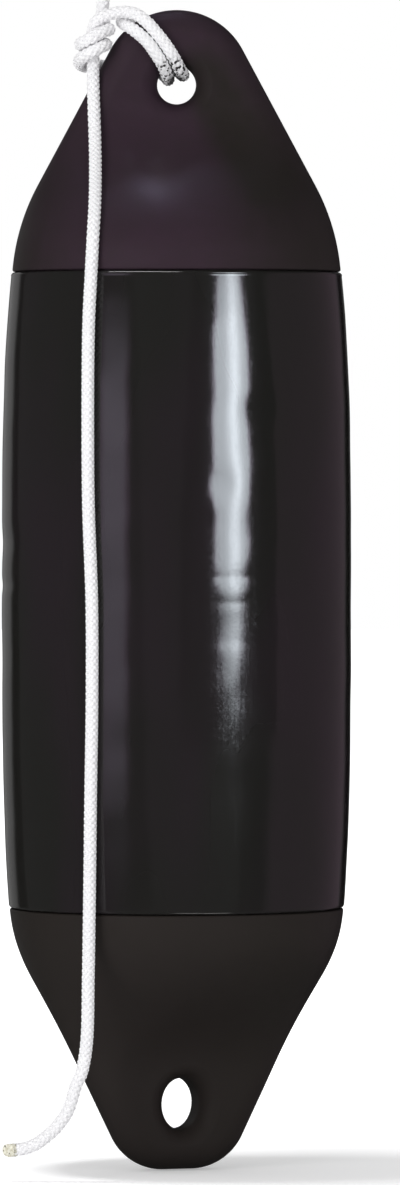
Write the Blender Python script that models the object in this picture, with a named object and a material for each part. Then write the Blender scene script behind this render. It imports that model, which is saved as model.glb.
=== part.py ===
"""Pneumatic boat fender, 180 x 600 mm class, with its line made fast through the top eye.

Metres, +Z up. The origin is the centre of the top eye, from which the fender hangs.
"""

import math
from dataclasses import dataclass

import bmesh
import bpy
from mathutils import Matrix, Vector

# Inflated body, a barrel that swells from its two rings to the middle
BODY_LENGTH = 0.3280
BODY_RADIUS = 0.0900
TOP_RING_RADIUS = 0.0852
BOTTOM_RING_RADIUS = 0.0866
BODY_WALL = 0.0032
BARREL_POWER = 3.4
BODY_EDGE = 0.0010
BODY_SIDES = 64
BODY_ROWS = 12

# Moulded ends, each a hollow dome drawn out into a flat tab with an eye
END_HEIGHT = 0.1349
END_WALL = 0.0045
CAVITY_HEIGHT = 0.0640
RING_STEP = 0.0005
END_EDGE = 0.0012
SHOULDER_RADIUS = 0.1130
TAB_THICKNESS = 0.0300
TAB_START = 0.0940
TAB_EDGE = 0.0130
SPIGOT_LENGTH = 0.0140
SPIGOT_WALL = 0.0040
END_SIDES = 48
CROWN_MERGE = 0.000001
SHOULDER_ROWS = 5
FLANK_ROWS = 8
HEAD_ROWS = 9
CAVITY_ROWS = 6

# Eyes
TOP_EYE_WIDTH = 0.0200
TOP_EYE_HEIGHT = 0.0200
TOP_EYE_DEPTH = 0.0387
BOTTOM_EYE_WIDTH = 0.0206
BOTTOM_EYE_HEIGHT = 0.0262
BOTTOM_EYE_DEPTH = 0.0340
EYE_FLARE = 0.0115
EYE_FLARE_ANGLE = math.radians(74)
EYE_SIDES = 36
EYE_FLARE_STEPS = 6
CUTTER_LIP = 0.0003
CUTTER_REACH = 0.0040

# Shape of each end seen from the front
TOP_HEAD_RADIUS = 0.0387
TOP_HEAD_FLAT = 0.0000
TOP_FLANK_TUCK = 0.0095
BOTTOM_HEAD_RADIUS = 0.0300
BOTTOM_HEAD_FLAT = 0.0079
BOTTOM_FLANK_TUCK = 0.0068
BOTTOM_TURN = math.radians(20)

# Inflation valve on the hidden shoulder of the top end
VALVE_HEIGHT = 0.0420
VALVE_FLANGE_RADIUS = 0.0110
VALVE_FLANGE = 0.0022
VALVE_FLANGE_SUNK = 0.75
VALVE_CHAMFER = 0.0006
VALVE_BARREL_RADIUS = 0.0072
VALVE_LENGTH = 0.0130
VALVE_BORE = 0.0045
VALVE_AIRWAY = 0.0018
VALVE_AIRWAY_FLOOR = 0.0020
PLUG_HEAD_RADIUS = 0.0078
PLUG_HEAD = 0.0030
PLUG_SHANK = 0.0080
PLUG_SLOT_WIDTH = 0.0018
PLUG_SLOT_DEPTH = 0.0016
PLUG_CHAMFER = 0.0008
PLUG_LIP = 0.0006
SEAL_CORD = 0.0014
SEAL_SEAT = 0.0010
SEAL_GAP = 0.0005
SEAL_CORD_SIDES = 10
VALVE_POCKET_TOP = 0.0120
VALVE_HOLE_DEPTH = 0.0300
VALVE_SIDES = 28

# Line
ROPE_DIAMETER = 0.0060
HITCH_STEP = 0.8 * ROPE_DIAMETER
FALL_STEP = 2.2 * ROPE_DIAMETER
ROPE_ROUND_SIDES = 2
ROUTE_FINENESS = 12

# Clearances
FIT_GAP = 0.0003

TOP_RING_Z = TOP_EYE_DEPTH - END_HEIGHT
BOTTOM_RING_Z = TOP_RING_Z - BODY_LENGTH

# Route of the made-fast stretch: up from the knot, twice through the eye, two wraps, then the tail
HITCH_ROUTE = (
    (-0.0428, -0.0120, 0.0168),
    (-0.0428, -0.0120, 0.0215),
    (-0.0431, -0.0122, 0.0272),
    (-0.0401, -0.0124, 0.0333),
    (-0.0338, -0.0124, 0.0361),
    (-0.0270, -0.0130, 0.0371),
    (-0.0205, -0.0160, 0.0358),
    (-0.0150, -0.0182, 0.0315),
    (-0.0110, -0.0188, 0.0270),
    (-0.0062, -0.0190, 0.0210),
    (-0.0022, -0.0182, 0.0150),
    (0.0012, -0.0135, 0.0090),
    (0.0031, -0.0065, 0.0056),
    (0.0033, 0.0000, 0.0052),
    (0.0025, 0.0070, 0.0060),
    (-0.0010, 0.0145, 0.0095),
    (-0.0065, 0.0186, 0.0160),
    (-0.0125, 0.0190, 0.0225),
    (-0.0195, 0.0168, 0.0290),
    (-0.0258, 0.0100, 0.0328),
    (-0.0280, 0.0010, 0.0328),
    (-0.0265, -0.0088, 0.0310),
    (-0.0211, -0.0175, 0.0271),
    (-0.0152, -0.0193, 0.0218),
    (-0.0111, -0.0192, 0.0163),
    (-0.0076, -0.0172, 0.0109),
    (-0.0053, -0.0115, 0.0061),
    (-0.0044, -0.0050, 0.0036),
    (-0.0044, 0.0020, 0.0030),
    (-0.0052, 0.0090, 0.0044),
    (-0.0095, 0.0165, 0.0078),
    (-0.0165, 0.0190, 0.0108),
    (-0.0250, 0.0192, 0.0118),
    (-0.0330, 0.0178, 0.0112),
    (-0.0396, 0.0138, 0.0104),
    (-0.0448, 0.0074, 0.0099),
    (-0.0483, 0.0000, 0.0101),
    (-0.0499, -0.0062, 0.0113),
    (-0.0493, -0.0122, 0.0130),
    (-0.0474, -0.0166, 0.0142),
    (-0.0428, -0.0187, 0.0167),
    (-0.0382, -0.0167, 0.0193),
    (-0.0361, -0.0120, 0.0205),
    (-0.0381, -0.0073, 0.0209),
    (-0.0428, -0.0053, 0.0208),
    (-0.0474, -0.0073, 0.0205),
    (-0.0494, -0.0120, 0.0205),
    (-0.0474, -0.0167, 0.0217),
    (-0.0428, -0.0188, 0.0242),
    (-0.0378, -0.0172, 0.0268),
    (-0.0346, -0.0122, 0.0281),
    (-0.0360, -0.0064, 0.0293),
    (-0.0382, -0.0044, 0.0335),
    (-0.0381, -0.0034, 0.0390),
    (-0.0375, -0.0030, 0.0455),
    (-0.0376, -0.0030, 0.0520),
)

# Route of the free stretch: down from the knot, over the fender, then its own set to the left
FALL_ROUTE = (
    (-0.0428, -0.0120, 0.0164),
    (-0.0428, -0.0120, 0.0120),
    (-0.0429, -0.0123, 0.0060),
    (-0.0427, -0.0145, -0.0040),
    (-0.0423, -0.0189, -0.0150),
    (-0.0418, -0.0262, -0.0280),
    (-0.0414, -0.0408, -0.0430),
    (-0.0414, -0.0616, -0.0610),
    (-0.0422, -0.0752, -0.0790),
    (-0.0432, -0.0780, -0.0990),
    (-0.0444, -0.0803, -0.1250),
    (-0.0448, -0.0814, -0.1650),
    (-0.0445, -0.0822, -0.2150),
    (-0.0428, -0.0831, -0.2650),
    (-0.0427, -0.0831, -0.3150),
    (-0.0434, -0.0826, -0.3650),
    (-0.0440, -0.0819, -0.4150),
    (-0.0446, -0.0815, -0.4550),
    (-0.0452, -0.0810, -0.4850),
    (-0.0475, -0.0810, -0.5020),
    (-0.0510, -0.0810, -0.5110),
    (-0.0548, -0.0810, -0.5230),
    (-0.0599, -0.0810, -0.5307),
    (-0.0646, -0.0810, -0.5354),
    (-0.0709, -0.0810, -0.5402),
    (-0.0770, -0.0810, -0.5426),
    (-0.0821, -0.0810, -0.5433),
)


def fade(share):
    """Smooth fall from 1 to 0 as the share goes from 0 to 1."""
    return 1 - share**3 * (10 - 15 * share + 6 * share**2)


@dataclass
class EndShape:
    """Sizes that differ between the two moulded ends."""

    ring_radius: float
    head_radius: float
    head_flat: float
    flank_tuck: float
    eye_width: float
    eye_height: float
    eye_depth: float

    @property
    def head_height(self):
        """Height of the head's centre above the ring."""
        return END_HEIGHT - self.head_radius

    @property
    def flank_angle(self):
        """Lean of the flank, whose line passes the ring's edge at the tuck's distance."""
        across = self.ring_radius - self.head_flat
        offset = (self.flank_tuck - self.head_radius) / math.hypot(across, self.head_height)
        return math.atan2(across, self.head_height) + math.asin(offset)

    @property
    def flank_reach(self):
        """Distance of the flank's straight line from the ring's centre."""
        sin, cos = math.sin(self.flank_angle), math.cos(self.flank_angle)
        return self.head_radius + self.head_flat * cos + self.head_height * sin

    def shoulder_centre(self):
        """Centre of the shoulder arc, tangent to the flank and through the ring's edge."""
        sin, cos = math.sin(self.flank_angle), math.cos(self.flank_angle)
        inward = self.flank_reach - SHOULDER_RADIUS
        across = self.ring_radius * cos - inward
        along = math.sqrt(SHOULDER_RADIUS**2 - across**2) - self.ring_radius * sin
        return inward * cos - along * sin, inward * sin + along * cos

    def half_width(self, height):
        """Half the width, seen from the front, at a height above the ring."""
        sin, cos = math.sin(self.flank_angle), math.cos(self.flank_angle)
        centre_x, centre_z = self.shoulder_centre()
        if height <= centre_z + SHOULDER_RADIUS * sin:
            return centre_x + math.sqrt(SHOULDER_RADIUS**2 - (height - centre_z) ** 2)
        if height <= self.head_height + self.head_radius * sin:
            return (self.flank_reach - height * sin) / cos
        drop = math.sqrt(max(0.0, self.head_radius**2 - (height - self.head_height) ** 2))
        return self.head_flat + drop

    def edge_distance(self, x, height):
        """Distance of a point inside the front outline from that outline."""
        x = abs(x)
        centre_x, centre_z = self.shoulder_centre()
        flank = self.flank_angle
        if math.atan2(height - self.head_height, x - self.head_flat) >= flank:
            beside = max(0.0, x - self.head_flat)
            return self.head_radius - math.hypot(beside, height - self.head_height)
        if math.atan2(height - centre_z, x - centre_x) <= flank:
            return SHOULDER_RADIUS - math.hypot(x - centre_x, height - centre_z)
        return self.flank_reach - x * math.cos(flank) - height * math.sin(flank)

    def half_depth(self, x, height):
        """Half the thickness of the end at a point of its front outline."""
        rise = min(1.0, height / TAB_START)
        blend = fade(rise)
        roundness = fade(rise**2)
        tab = TAB_THICKNESS / 2
        depth = tab + (self.ring_radius - tab) * blend
        round_width = max(self.flank_reach - height * math.sin(self.flank_angle), TAB_EDGE)
        round_width = TAB_EDGE + (round_width - TAB_EDGE) * roundness
        share = min(1.0, max(0.0, self.edge_distance(x, height) / round_width))
        return depth * math.sqrt(1 - (1 - share) ** 2)


TOP_END = EndShape(
    ring_radius=TOP_RING_RADIUS - RING_STEP,
    head_radius=TOP_HEAD_RADIUS,
    head_flat=TOP_HEAD_FLAT,
    flank_tuck=TOP_FLANK_TUCK,
    eye_width=TOP_EYE_WIDTH,
    eye_height=TOP_EYE_HEIGHT,
    eye_depth=TOP_EYE_DEPTH,
)
BOTTOM_END = EndShape(
    ring_radius=BOTTOM_RING_RADIUS - RING_STEP,
    head_radius=BOTTOM_HEAD_RADIUS,
    head_flat=BOTTOM_HEAD_FLAT,
    flank_tuck=BOTTOM_FLANK_TUCK,
    eye_width=BOTTOM_EYE_WIDTH,
    eye_height=BOTTOM_EYE_HEIGHT,
    eye_depth=BOTTOM_EYE_DEPTH,
)


def clear_scene():
    """Remove every object of the scene."""
    for obj in list(bpy.data.objects):
        bpy.data.objects.remove(obj, do_unlink=True)


def make_material(name, colour, roughness, metallic=0.0):
    """Make a plain Principled material."""
    material = bpy.data.materials.new(name)
    material.use_nodes = True
    shader = material.node_tree.nodes["Principled BSDF"]
    shader.inputs["Base Color"].default_value = (*colour, 1.0)
    shader.inputs["Roughness"].default_value = roughness
    shader.inputs["Metallic"].default_value = metallic
    return material


def add_object(name, mesh, material):
    """Link a mesh as a named object with its material, shaded smooth up to 35 degrees."""
    obj = bpy.data.objects.new(name, mesh)
    bpy.context.scene.collection.objects.link(obj)
    obj.data.materials.append(material)
    mesh.shade_smooth()
    mesh.set_sharp_from_angle(angle=math.radians(35))
    return obj


def skin_rings(rings, closed=False):
    """Join rings of points into a surface; a ring of one point is a pole.

    closed joins the last ring to the first, otherwise each end ring is a pole.
    """
    mesh = bmesh.new()
    made = [[mesh.verts.new(point) for point in ring] for ring in rings]
    pairs = list(zip(made, made[1:]))
    if closed:
        pairs.append((made[-1], made[0]))
    for lower, upper in pairs:
        count = max(len(lower), len(upper))
        for i in range(count):
            j = (i + 1) % count
            if len(upper) == 1:
                mesh.faces.new((lower[i], lower[j], upper[0]))
            elif len(lower) == 1:
                mesh.faces.new((lower[0], upper[j], upper[i]))
            else:
                mesh.faces.new((lower[i], lower[j], upper[j], upper[i]))
    bmesh.ops.recalc_face_normals(mesh, faces=mesh.faces)
    return mesh


def finish_mesh(name, mesh):
    """Turn a bmesh into a mesh data block."""
    data = bpy.data.meshes.new(name)
    mesh.to_mesh(data)
    mesh.free()
    return data


def add_cutter(name, mesh, place=Matrix()):
    """Link a helper that only cuts other shapes, hidden from the render."""
    cutter = bpy.data.objects.new(name, finish_mesh(name, mesh))
    bpy.context.scene.collection.objects.link(cutter)
    cutter.matrix_world = place
    cutter.hide_render = True
    cutter.display_type = "WIRE"
    return cutter


def circle(radius, z, sides):
    """Points of a level circle about the Z axis."""
    turns = (2 * math.pi * i / sides for i in range(sides))
    return [(radius * math.cos(turn), radius * math.sin(turn), z) for turn in turns]


def turned(profile, sides):
    """Surface of revolution about Z from (radius, z) pairs; a radius of zero is a pole."""
    rings = [circle(r, z, sides) if r > 0 else [(0.0, 0.0, z)] for r, z in profile]
    return skin_rings(rings, closed=profile[0][0] > 0)


def barrel_radius(share):
    """Outer radius of the body at a share of its length, from the top ring down."""
    ring = TOP_RING_RADIUS if share < 0.5 else BOTTOM_RING_RADIUS
    swell = abs(2 * share - 1) ** BARREL_POWER
    return BODY_RADIUS - (BODY_RADIUS - ring) * swell


def build_body():
    """The inflated body: an open barrel of constant wall."""
    bottom, top = BOTTOM_RING_Z + FIT_GAP, TOP_RING_Z - FIT_GAP
    outer = [(TOP_RING_RADIUS - BODY_EDGE, top)]
    edge_share = BODY_EDGE / BODY_LENGTH
    for row in range(BODY_ROWS + 1):
        share = edge_share + (1 - 2 * edge_share) * row / BODY_ROWS
        outer.append((barrel_radius(share), top + (bottom - top) * share))
    outer.append((BOTTOM_RING_RADIUS - BODY_EDGE, bottom))
    inner = []
    for row in range(BODY_ROWS, -1, -2):
        share = row / BODY_ROWS
        inner.append((barrel_radius(share) - BODY_WALL, top + (bottom - top) * share))
    material = make_material("body_skin", (0.012, 0.011, 0.012), 0.16)
    mesh = finish_mesh("body_tube", turned(outer + inner, BODY_SIDES))
    return add_object("body_tube", mesh, material)


def end_rows(shape):
    """Heights of the outer rows of an end, from just above its ring edge to just under its top."""
    centre_z = shape.shoulder_centre()[1]
    shoulder_top = centre_z + SHOULDER_RADIUS * math.sin(shape.flank_angle)
    head_low = shape.head_height + shape.head_radius * math.sin(shape.flank_angle)
    shoulder_step = (shoulder_top - END_EDGE) / SHOULDER_ROWS
    flank_step = (head_low - shoulder_top) / FLANK_ROWS
    rows = [END_EDGE + shoulder_step * i for i in range(SHOULDER_ROWS)]
    rows += [shoulder_top + flank_step * i for i in range(FLANK_ROWS)]
    for i in range(HEAD_ROWS):
        share = math.sin(math.pi / 2 * i / HEAD_ROWS)
        angle = shape.flank_angle + (math.pi / 2 - shape.flank_angle) * share
        rows.append(shape.head_height + shape.head_radius * math.sin(angle))
    return rows


def end_section(shape, height, inset=0.0):
    """Outline of an end at one height, drawn in by an inset."""
    width = shape.half_width(height) - inset
    points = []
    for i in range(END_SIDES):
        turn = 2 * math.pi * i / END_SIDES
        x = width * math.cos(turn)
        side = math.copysign(1.0, math.sin(turn)) if i % (END_SIDES // 2) else 0.0
        depth = shape.half_depth(x * (width + inset) / width, height) - inset
        points.append((x, side * max(depth, 0.0), height))
    return points


def cavity_section(shape, share):
    """Outline of the hollow inside an end at a share of its height, closing like a dome."""
    height = CAVITY_HEIGHT * share
    closing = math.sqrt(1 - share**4)
    width = (shape.half_width(height) - END_WALL) * closing
    depth = (shape.half_depth(0.0, height) - END_WALL) * closing
    turns = (2 * math.pi * i / END_SIDES for i in range(END_SIDES))
    return [(width * math.cos(turn), depth * math.sin(turn), height) for turn in turns]


def eye_cutter(name, shape, place):
    """A spool that cuts the eye, with mouths that flare until they meet the end's surface."""
    height = END_HEIGHT - shape.eye_depth
    straight = TAB_THICKNESS / 2 - EYE_FLARE * math.sin(EYE_FLARE_ANGLE)
    spread = EYE_FLARE * (1 - math.cos(EYE_FLARE_ANGLE))
    profile = []
    for i in range(EYE_FLARE_STEPS + 1):
        angle = EYE_FLARE_ANGLE * i / EYE_FLARE_STEPS
        growth = EYE_FLARE * (1 - math.cos(angle))
        profile.append((growth, math.sin(angle) / math.sin(EYE_FLARE_ANGLE), 0.0))
    spread_lip = spread + CUTTER_LIP * math.tan(EYE_FLARE_ANGLE)
    profile += [(spread_lip, 1.0, CUTTER_LIP), (spread_lip, 1.0, CUTTER_REACH)]
    front, back = [], []
    for growth, share, beyond in profile:
        ring = []
        for i in range(EYE_SIDES):
            turn = 2 * math.pi * i / EYE_SIDES
            mouth_x = (shape.eye_width / 2 + spread) * math.cos(turn)
            mouth_up = (shape.eye_height / 2 + spread) * math.sin(turn)
            depth = straight + (shape.half_depth(mouth_x, height + mouth_up) - straight) * share
            across = (shape.eye_width / 2 + growth) * math.cos(turn)
            up = (shape.eye_height / 2 + growth) * math.sin(turn)
            ring.append((across, depth + beyond, height + up))
        back.append(ring)
        front.append([(x, -y, z) for x, y, z in ring])
    pole = TAB_THICKNESS / 2 + CUTTER_REACH
    rings = [[(0.0, -pole, height)]] + front[::-1] + back + [[(0.0, pole, height)]]
    return add_cutter(name, skin_rings(rings), place)


def cut(obj, cutter, name):
    """Take one shape out of another with a Boolean modifier."""
    modifier = obj.modifiers.new(name, "BOOLEAN")
    modifier.operation = "DIFFERENCE"
    modifier.solver = "EXACT"
    modifier.object = cutter


def build_end(name, shape, body_radius, place, extra_cutter=None):
    """A moulded end: spigot, dome and tab as one piece, with the eye cut through."""
    outer = [end_section(shape, 0.0, inset=END_EDGE)]
    outer += [end_section(shape, height) for height in end_rows(shape)]
    turns = (2 * math.pi * i / END_SIDES for i in range(END_SIDES))
    outer.append([(shape.head_flat * math.cos(turn), 0.0, END_HEIGHT) for turn in turns])
    spigot_radius = body_radius - BODY_WALL - FIT_GAP
    spigot = [
        circle(spigot_radius - SPIGOT_WALL, -SPIGOT_LENGTH, END_SIDES),
        circle(spigot_radius, -SPIGOT_LENGTH, END_SIDES),
        circle(spigot_radius, 0.0, END_SIDES),
    ]
    cavity = [[(0.0, 0.0, CAVITY_HEIGHT)]]
    for i in range(CAVITY_ROWS):
        turn = math.pi / 2 * (i + 1) / CAVITY_ROWS
        cavity.append(cavity_section(shape, max(0.0, math.cos(turn))))
    surface = skin_rings(cavity + spigot + outer)
    bmesh.ops.remove_doubles(surface, verts=surface.verts, dist=CROWN_MERGE)
    mesh = finish_mesh(name, surface)
    material = make_material(name + "_moulding", (0.030, 0.020, 0.025), 0.42)
    obj = add_object(name, mesh, material)
    obj.matrix_world = place
    cut(obj, eye_cutter(name + "_eye_cutter", shape, place), "eye")
    if extra_cutter is not None:
        cut(obj, extra_cutter, "valve_seat")
    return obj


def valve_frame():
    """Place of the valve: its origin on the shoulder's surface and its Z axis outwards."""
    step = 0.0005
    low = TOP_END.half_depth(0.0, VALVE_HEIGHT - step)
    high = TOP_END.half_depth(0.0, VALVE_HEIGHT + step)
    axis = Vector((0.0, 2 * step, low - high)).normalized()
    origin = Vector((0.0, TOP_END.half_depth(0.0, VALVE_HEIGHT), TOP_RING_Z + VALVE_HEIGHT))
    side = Vector((1.0, 0.0, 0.0))
    frame = Matrix((side, axis.cross(side), axis)).transposed()
    return Matrix.Translation(origin) @ frame.to_4x4()


def seat_sink():
    """How far the flat valve seat lies under the rounded shoulder."""
    return VALVE_FLANGE * VALVE_FLANGE_SUNK


def valve_cutter(place):
    """The pocket for the flange and the hole for the barrel, with clearance."""
    floor = -seat_sink() - FIT_GAP
    pocket, hole = VALVE_FLANGE_RADIUS + FIT_GAP, VALVE_BARREL_RADIUS + FIT_GAP
    profile = [
        (0.0, VALVE_POCKET_TOP),
        (pocket, VALVE_POCKET_TOP),
        (pocket, floor),
        (hole, floor),
        (hole, -VALVE_HOLE_DEPTH),
        (0.0, -VALVE_HOLE_DEPTH),
    ]
    return add_cutter("valve_cutter", turned(profile, VALVE_SIDES), place)


def build_valve(place):
    """The valve insert, its seal ring and its slotted screw plug."""
    top = VALVE_FLANGE - seat_sink()
    bottom = -seat_sink() - VALVE_LENGTH
    recess = top - SEAL_SEAT
    recess_radius = PLUG_HEAD_RADIUS - PLUG_LIP
    insert_profile = [
        (VALVE_AIRWAY, bottom),
        (VALVE_BARREL_RADIUS, bottom),
        (VALVE_BARREL_RADIUS, -seat_sink()),
        (VALVE_FLANGE_RADIUS, -seat_sink()),
        (VALVE_FLANGE_RADIUS, top - VALVE_CHAMFER),
        (VALVE_FLANGE_RADIUS - VALVE_CHAMFER, top),
        (recess_radius, top),
        (recess_radius, recess),
        (VALVE_BORE, recess),
        (VALVE_BORE, bottom + VALVE_AIRWAY_FLOOR),
        (VALVE_AIRWAY, bottom + VALVE_AIRWAY_FLOOR),
    ]
    insert = add_object(
        "valve_insert",
        finish_mesh("valve_insert", turned(insert_profile, VALVE_SIDES)),
        make_material("valve_nylon", (0.020, 0.020, 0.022), 0.35),
    )
    insert.matrix_world = place

    seal_centre = recess + FIT_GAP + SEAL_CORD / 2
    seal_radius = VALVE_BORE + SEAL_GAP + SEAL_CORD / 2
    ring = []
    for i in range(SEAL_CORD_SIDES):
        turn = 2 * math.pi * i / SEAL_CORD_SIDES
        across = seal_radius + SEAL_CORD / 2 * math.cos(turn)
        ring.append((across, seal_centre + SEAL_CORD / 2 * math.sin(turn)))
    seal = add_object(
        "valve_seal",
        finish_mesh("valve_seal", turned(ring, VALVE_SIDES)),
        make_material("seal_rubber", (0.015, 0.015, 0.015), 0.6),
    )
    seal.matrix_world = place

    head_bottom = seal_centre + SEAL_CORD / 2 + FIT_GAP
    head_top = head_bottom + PLUG_HEAD
    shank = VALVE_BORE - FIT_GAP
    plug_profile = [
        (0.0, head_bottom - PLUG_SHANK),
        (shank - PLUG_CHAMFER, head_bottom - PLUG_SHANK),
        (shank, head_bottom - PLUG_SHANK + PLUG_CHAMFER),
        (shank, head_bottom),
        (PLUG_HEAD_RADIUS, head_bottom),
        (PLUG_HEAD_RADIUS, head_top - PLUG_CHAMFER),
        (PLUG_HEAD_RADIUS - PLUG_CHAMFER, head_top),
        (0.0, head_top),
    ]
    plug = add_object(
        "valve_plug",
        finish_mesh("valve_plug", turned(plug_profile, VALVE_SIDES)),
        make_material("plug_nylon", (0.030, 0.030, 0.032), 0.4),
    )
    plug.matrix_world = place
    slot = bmesh.new()
    bmesh.ops.create_cube(slot, size=1.0)
    slot_size = (4 * PLUG_HEAD_RADIUS, PLUG_SLOT_WIDTH, 2 * PLUG_SLOT_DEPTH)
    bmesh.ops.scale(slot, vec=slot_size, verts=slot.verts)
    bmesh.ops.translate(slot, vec=(0.0, 0.0, head_top), verts=slot.verts)
    cut(plug, add_cutter("slot_cutter", slot, place), "coin_slot")


def smooth_route(points, spacing):
    """Points at an even spacing along a smooth curve through the given points."""
    route = [Vector(point) for point in points]
    ends = [2 * route[0] - route[1]] + route + [2 * route[-1] - route[-2]]
    fine = []
    for before, start, end, after in zip(ends, ends[1:], ends[2:], ends[3:]):
        for i in range(ROUTE_FINENESS):
            t = i / ROUTE_FINENESS
            fine.append(
                0.5
                * (
                    2 * start
                    + (end - before) * t
                    + (2 * before - 5 * start + 4 * end - after) * t**2
                    + (3 * start - before - 3 * end + after) * t**3
                )
            )
    fine.append(route[-1])
    lengths = [0.0]
    for a, b in zip(fine, fine[1:]):
        lengths.append(lengths[-1] + (b - a).length)
    count = max(2, round(lengths[-1] / spacing))
    even = []
    at = 0
    for i in range(count + 1):
        wanted = lengths[-1] * i / count
        while at < len(fine) - 2 and lengths[at + 1] < wanted:
            at += 1
        span = lengths[at + 1] - lengths[at]
        even.append(fine[at].lerp(fine[at + 1], (wanted - lengths[at]) / span))
    return even


def build_rope(name, route, spacing):
    """A stretch of line as a round tube along its route."""
    curve = bpy.data.curves.new(name, "CURVE")
    curve.dimensions = "3D"
    curve.bevel_depth = ROPE_DIAMETER / 2
    curve.bevel_resolution = ROPE_ROUND_SIDES
    curve.use_fill_caps = True
    points = smooth_route(route, spacing)
    spline = curve.splines.new("POLY")
    spline.points.add(len(points) - 1)
    for point, place in zip(spline.points, points):
        point.co = (*place, 1.0)
    curve.materials.append(make_material(name + "_braid", (0.80, 0.79, 0.80), 0.75))
    obj = bpy.data.objects.new(name, curve)
    bpy.context.scene.collection.objects.link(obj)
    return obj


def main():
    """Build the fender."""
    clear_scene()
    build_body()
    place = valve_frame()
    top_place = Matrix.Translation((0.0, 0.0, TOP_RING_Z))
    build_end("top_end", TOP_END, TOP_RING_RADIUS, top_place, valve_cutter(place))
    turn = Matrix.Rotation(BOTTOM_TURN, 4, "Z") @ Matrix.Rotation(math.pi, 4, "X")
    bottom_place = Matrix.Translation((0.0, 0.0, BOTTOM_RING_Z)) @ turn
    build_end("bottom_end", BOTTOM_END, BOTTOM_RING_RADIUS, bottom_place)
    build_valve(place)
    build_rope("rope_hitch", HITCH_ROUTE, HITCH_STEP)
    build_rope("rope_fall", FALL_ROUTE, FALL_STEP)


main()
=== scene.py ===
"""Looks of a pneumatic boat fender with its made-fast braided line."""

from __future__ import annotations

import logging
import math
from dataclasses import dataclass, field
from enum import Enum
from typing import Any, Iterable, Sequence

import bmesh
import bpy
import numpy as np
from mathutils import Matrix, Vector

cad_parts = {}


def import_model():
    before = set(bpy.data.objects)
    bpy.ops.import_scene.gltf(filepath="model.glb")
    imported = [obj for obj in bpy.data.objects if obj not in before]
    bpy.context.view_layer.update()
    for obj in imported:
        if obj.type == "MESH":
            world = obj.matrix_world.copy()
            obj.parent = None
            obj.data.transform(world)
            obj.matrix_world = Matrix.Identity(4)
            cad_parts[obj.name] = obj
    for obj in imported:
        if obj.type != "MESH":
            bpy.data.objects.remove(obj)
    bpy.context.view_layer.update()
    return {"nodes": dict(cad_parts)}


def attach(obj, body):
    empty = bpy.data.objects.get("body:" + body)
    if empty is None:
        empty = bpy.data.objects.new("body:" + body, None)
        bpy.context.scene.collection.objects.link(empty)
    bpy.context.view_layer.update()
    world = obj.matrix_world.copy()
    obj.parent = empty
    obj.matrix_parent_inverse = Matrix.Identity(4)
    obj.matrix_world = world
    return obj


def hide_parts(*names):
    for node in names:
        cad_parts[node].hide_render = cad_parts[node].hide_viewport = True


log = logging.getLogger("fender")

Point = tuple[float, float, float]
Span = tuple[float, float]

ROUTE_FINENESS = 12
CORD_SPACING = 0.004
MERGE_DISTANCE = 0.000001
BLACK = (0.0, 0.0, 0.0, 1.0)
WHITE = (1.0, 1.0, 1.0, 1.0)

# Route of the made-fast stretch: up from the knot, twice through the eye, two wraps, then the tail
HITCH_ROUTE: tuple[Point, ...] = (
    (-0.0428, -0.0120, 0.0168),
    (-0.0428, -0.0120, 0.0215),
    (-0.0431, -0.0122, 0.0272),
    (-0.0401, -0.0124, 0.0333),
    (-0.0338, -0.0124, 0.0361),
    (-0.0270, -0.0130, 0.0371),
    (-0.0205, -0.0160, 0.0358),
    (-0.0150, -0.0182, 0.0315),
    (-0.0110, -0.0188, 0.0270),
    (-0.0062, -0.0190, 0.0210),
    (-0.0022, -0.0182, 0.0150),
    (0.0012, -0.0135, 0.0090),
    (0.0031, -0.0065, 0.0056),
    (0.0033, 0.0000, 0.0052),
    (0.0025, 0.0070, 0.0060),
    (-0.0010, 0.0145, 0.0095),
    (-0.0065, 0.0186, 0.0160),
    (-0.0125, 0.0190, 0.0225),
    (-0.0195, 0.0168, 0.0290),
    (-0.0258, 0.0100, 0.0328),
    (-0.0280, 0.0010, 0.0328),
    (-0.0265, -0.0088, 0.0310),
    (-0.0211, -0.0175, 0.0271),
    (-0.0152, -0.0193, 0.0218),
    (-0.0111, -0.0192, 0.0163),
    (-0.0076, -0.0172, 0.0109),
    (-0.0053, -0.0115, 0.0061),
    (-0.0044, -0.0050, 0.0036),
    (-0.0044, 0.0020, 0.0030),
    (-0.0052, 0.0090, 0.0044),
    (-0.0095, 0.0165, 0.0078),
    (-0.0165, 0.0190, 0.0108),
    (-0.0250, 0.0192, 0.0118),
    (-0.0330, 0.0178, 0.0112),
    (-0.0396, 0.0138, 0.0104),
    (-0.0448, 0.0074, 0.0099),
    (-0.0483, 0.0000, 0.0101),
    (-0.0499, -0.0062, 0.0113),
    (-0.0493, -0.0122, 0.0130),
    (-0.0474, -0.0166, 0.0142),
    (-0.0428, -0.0187, 0.0167),
    (-0.0382, -0.0167, 0.0193),
    (-0.0361, -0.0120, 0.0205),
    (-0.0381, -0.0073, 0.0209),
    (-0.0428, -0.0053, 0.0208),
    (-0.0474, -0.0073, 0.0205),
    (-0.0494, -0.0120, 0.0205),
    (-0.0474, -0.0167, 0.0217),
    (-0.0428, -0.0188, 0.0242),
    (-0.0378, -0.0172, 0.0268),
    (-0.0346, -0.0122, 0.0281),
    (-0.0360, -0.0064, 0.0293),
    (-0.0382, -0.0044, 0.0335),
    (-0.0381, -0.0034, 0.0390),
    (-0.0375, -0.0030, 0.0455),
    (-0.0376, -0.0030, 0.0520),
)

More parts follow.
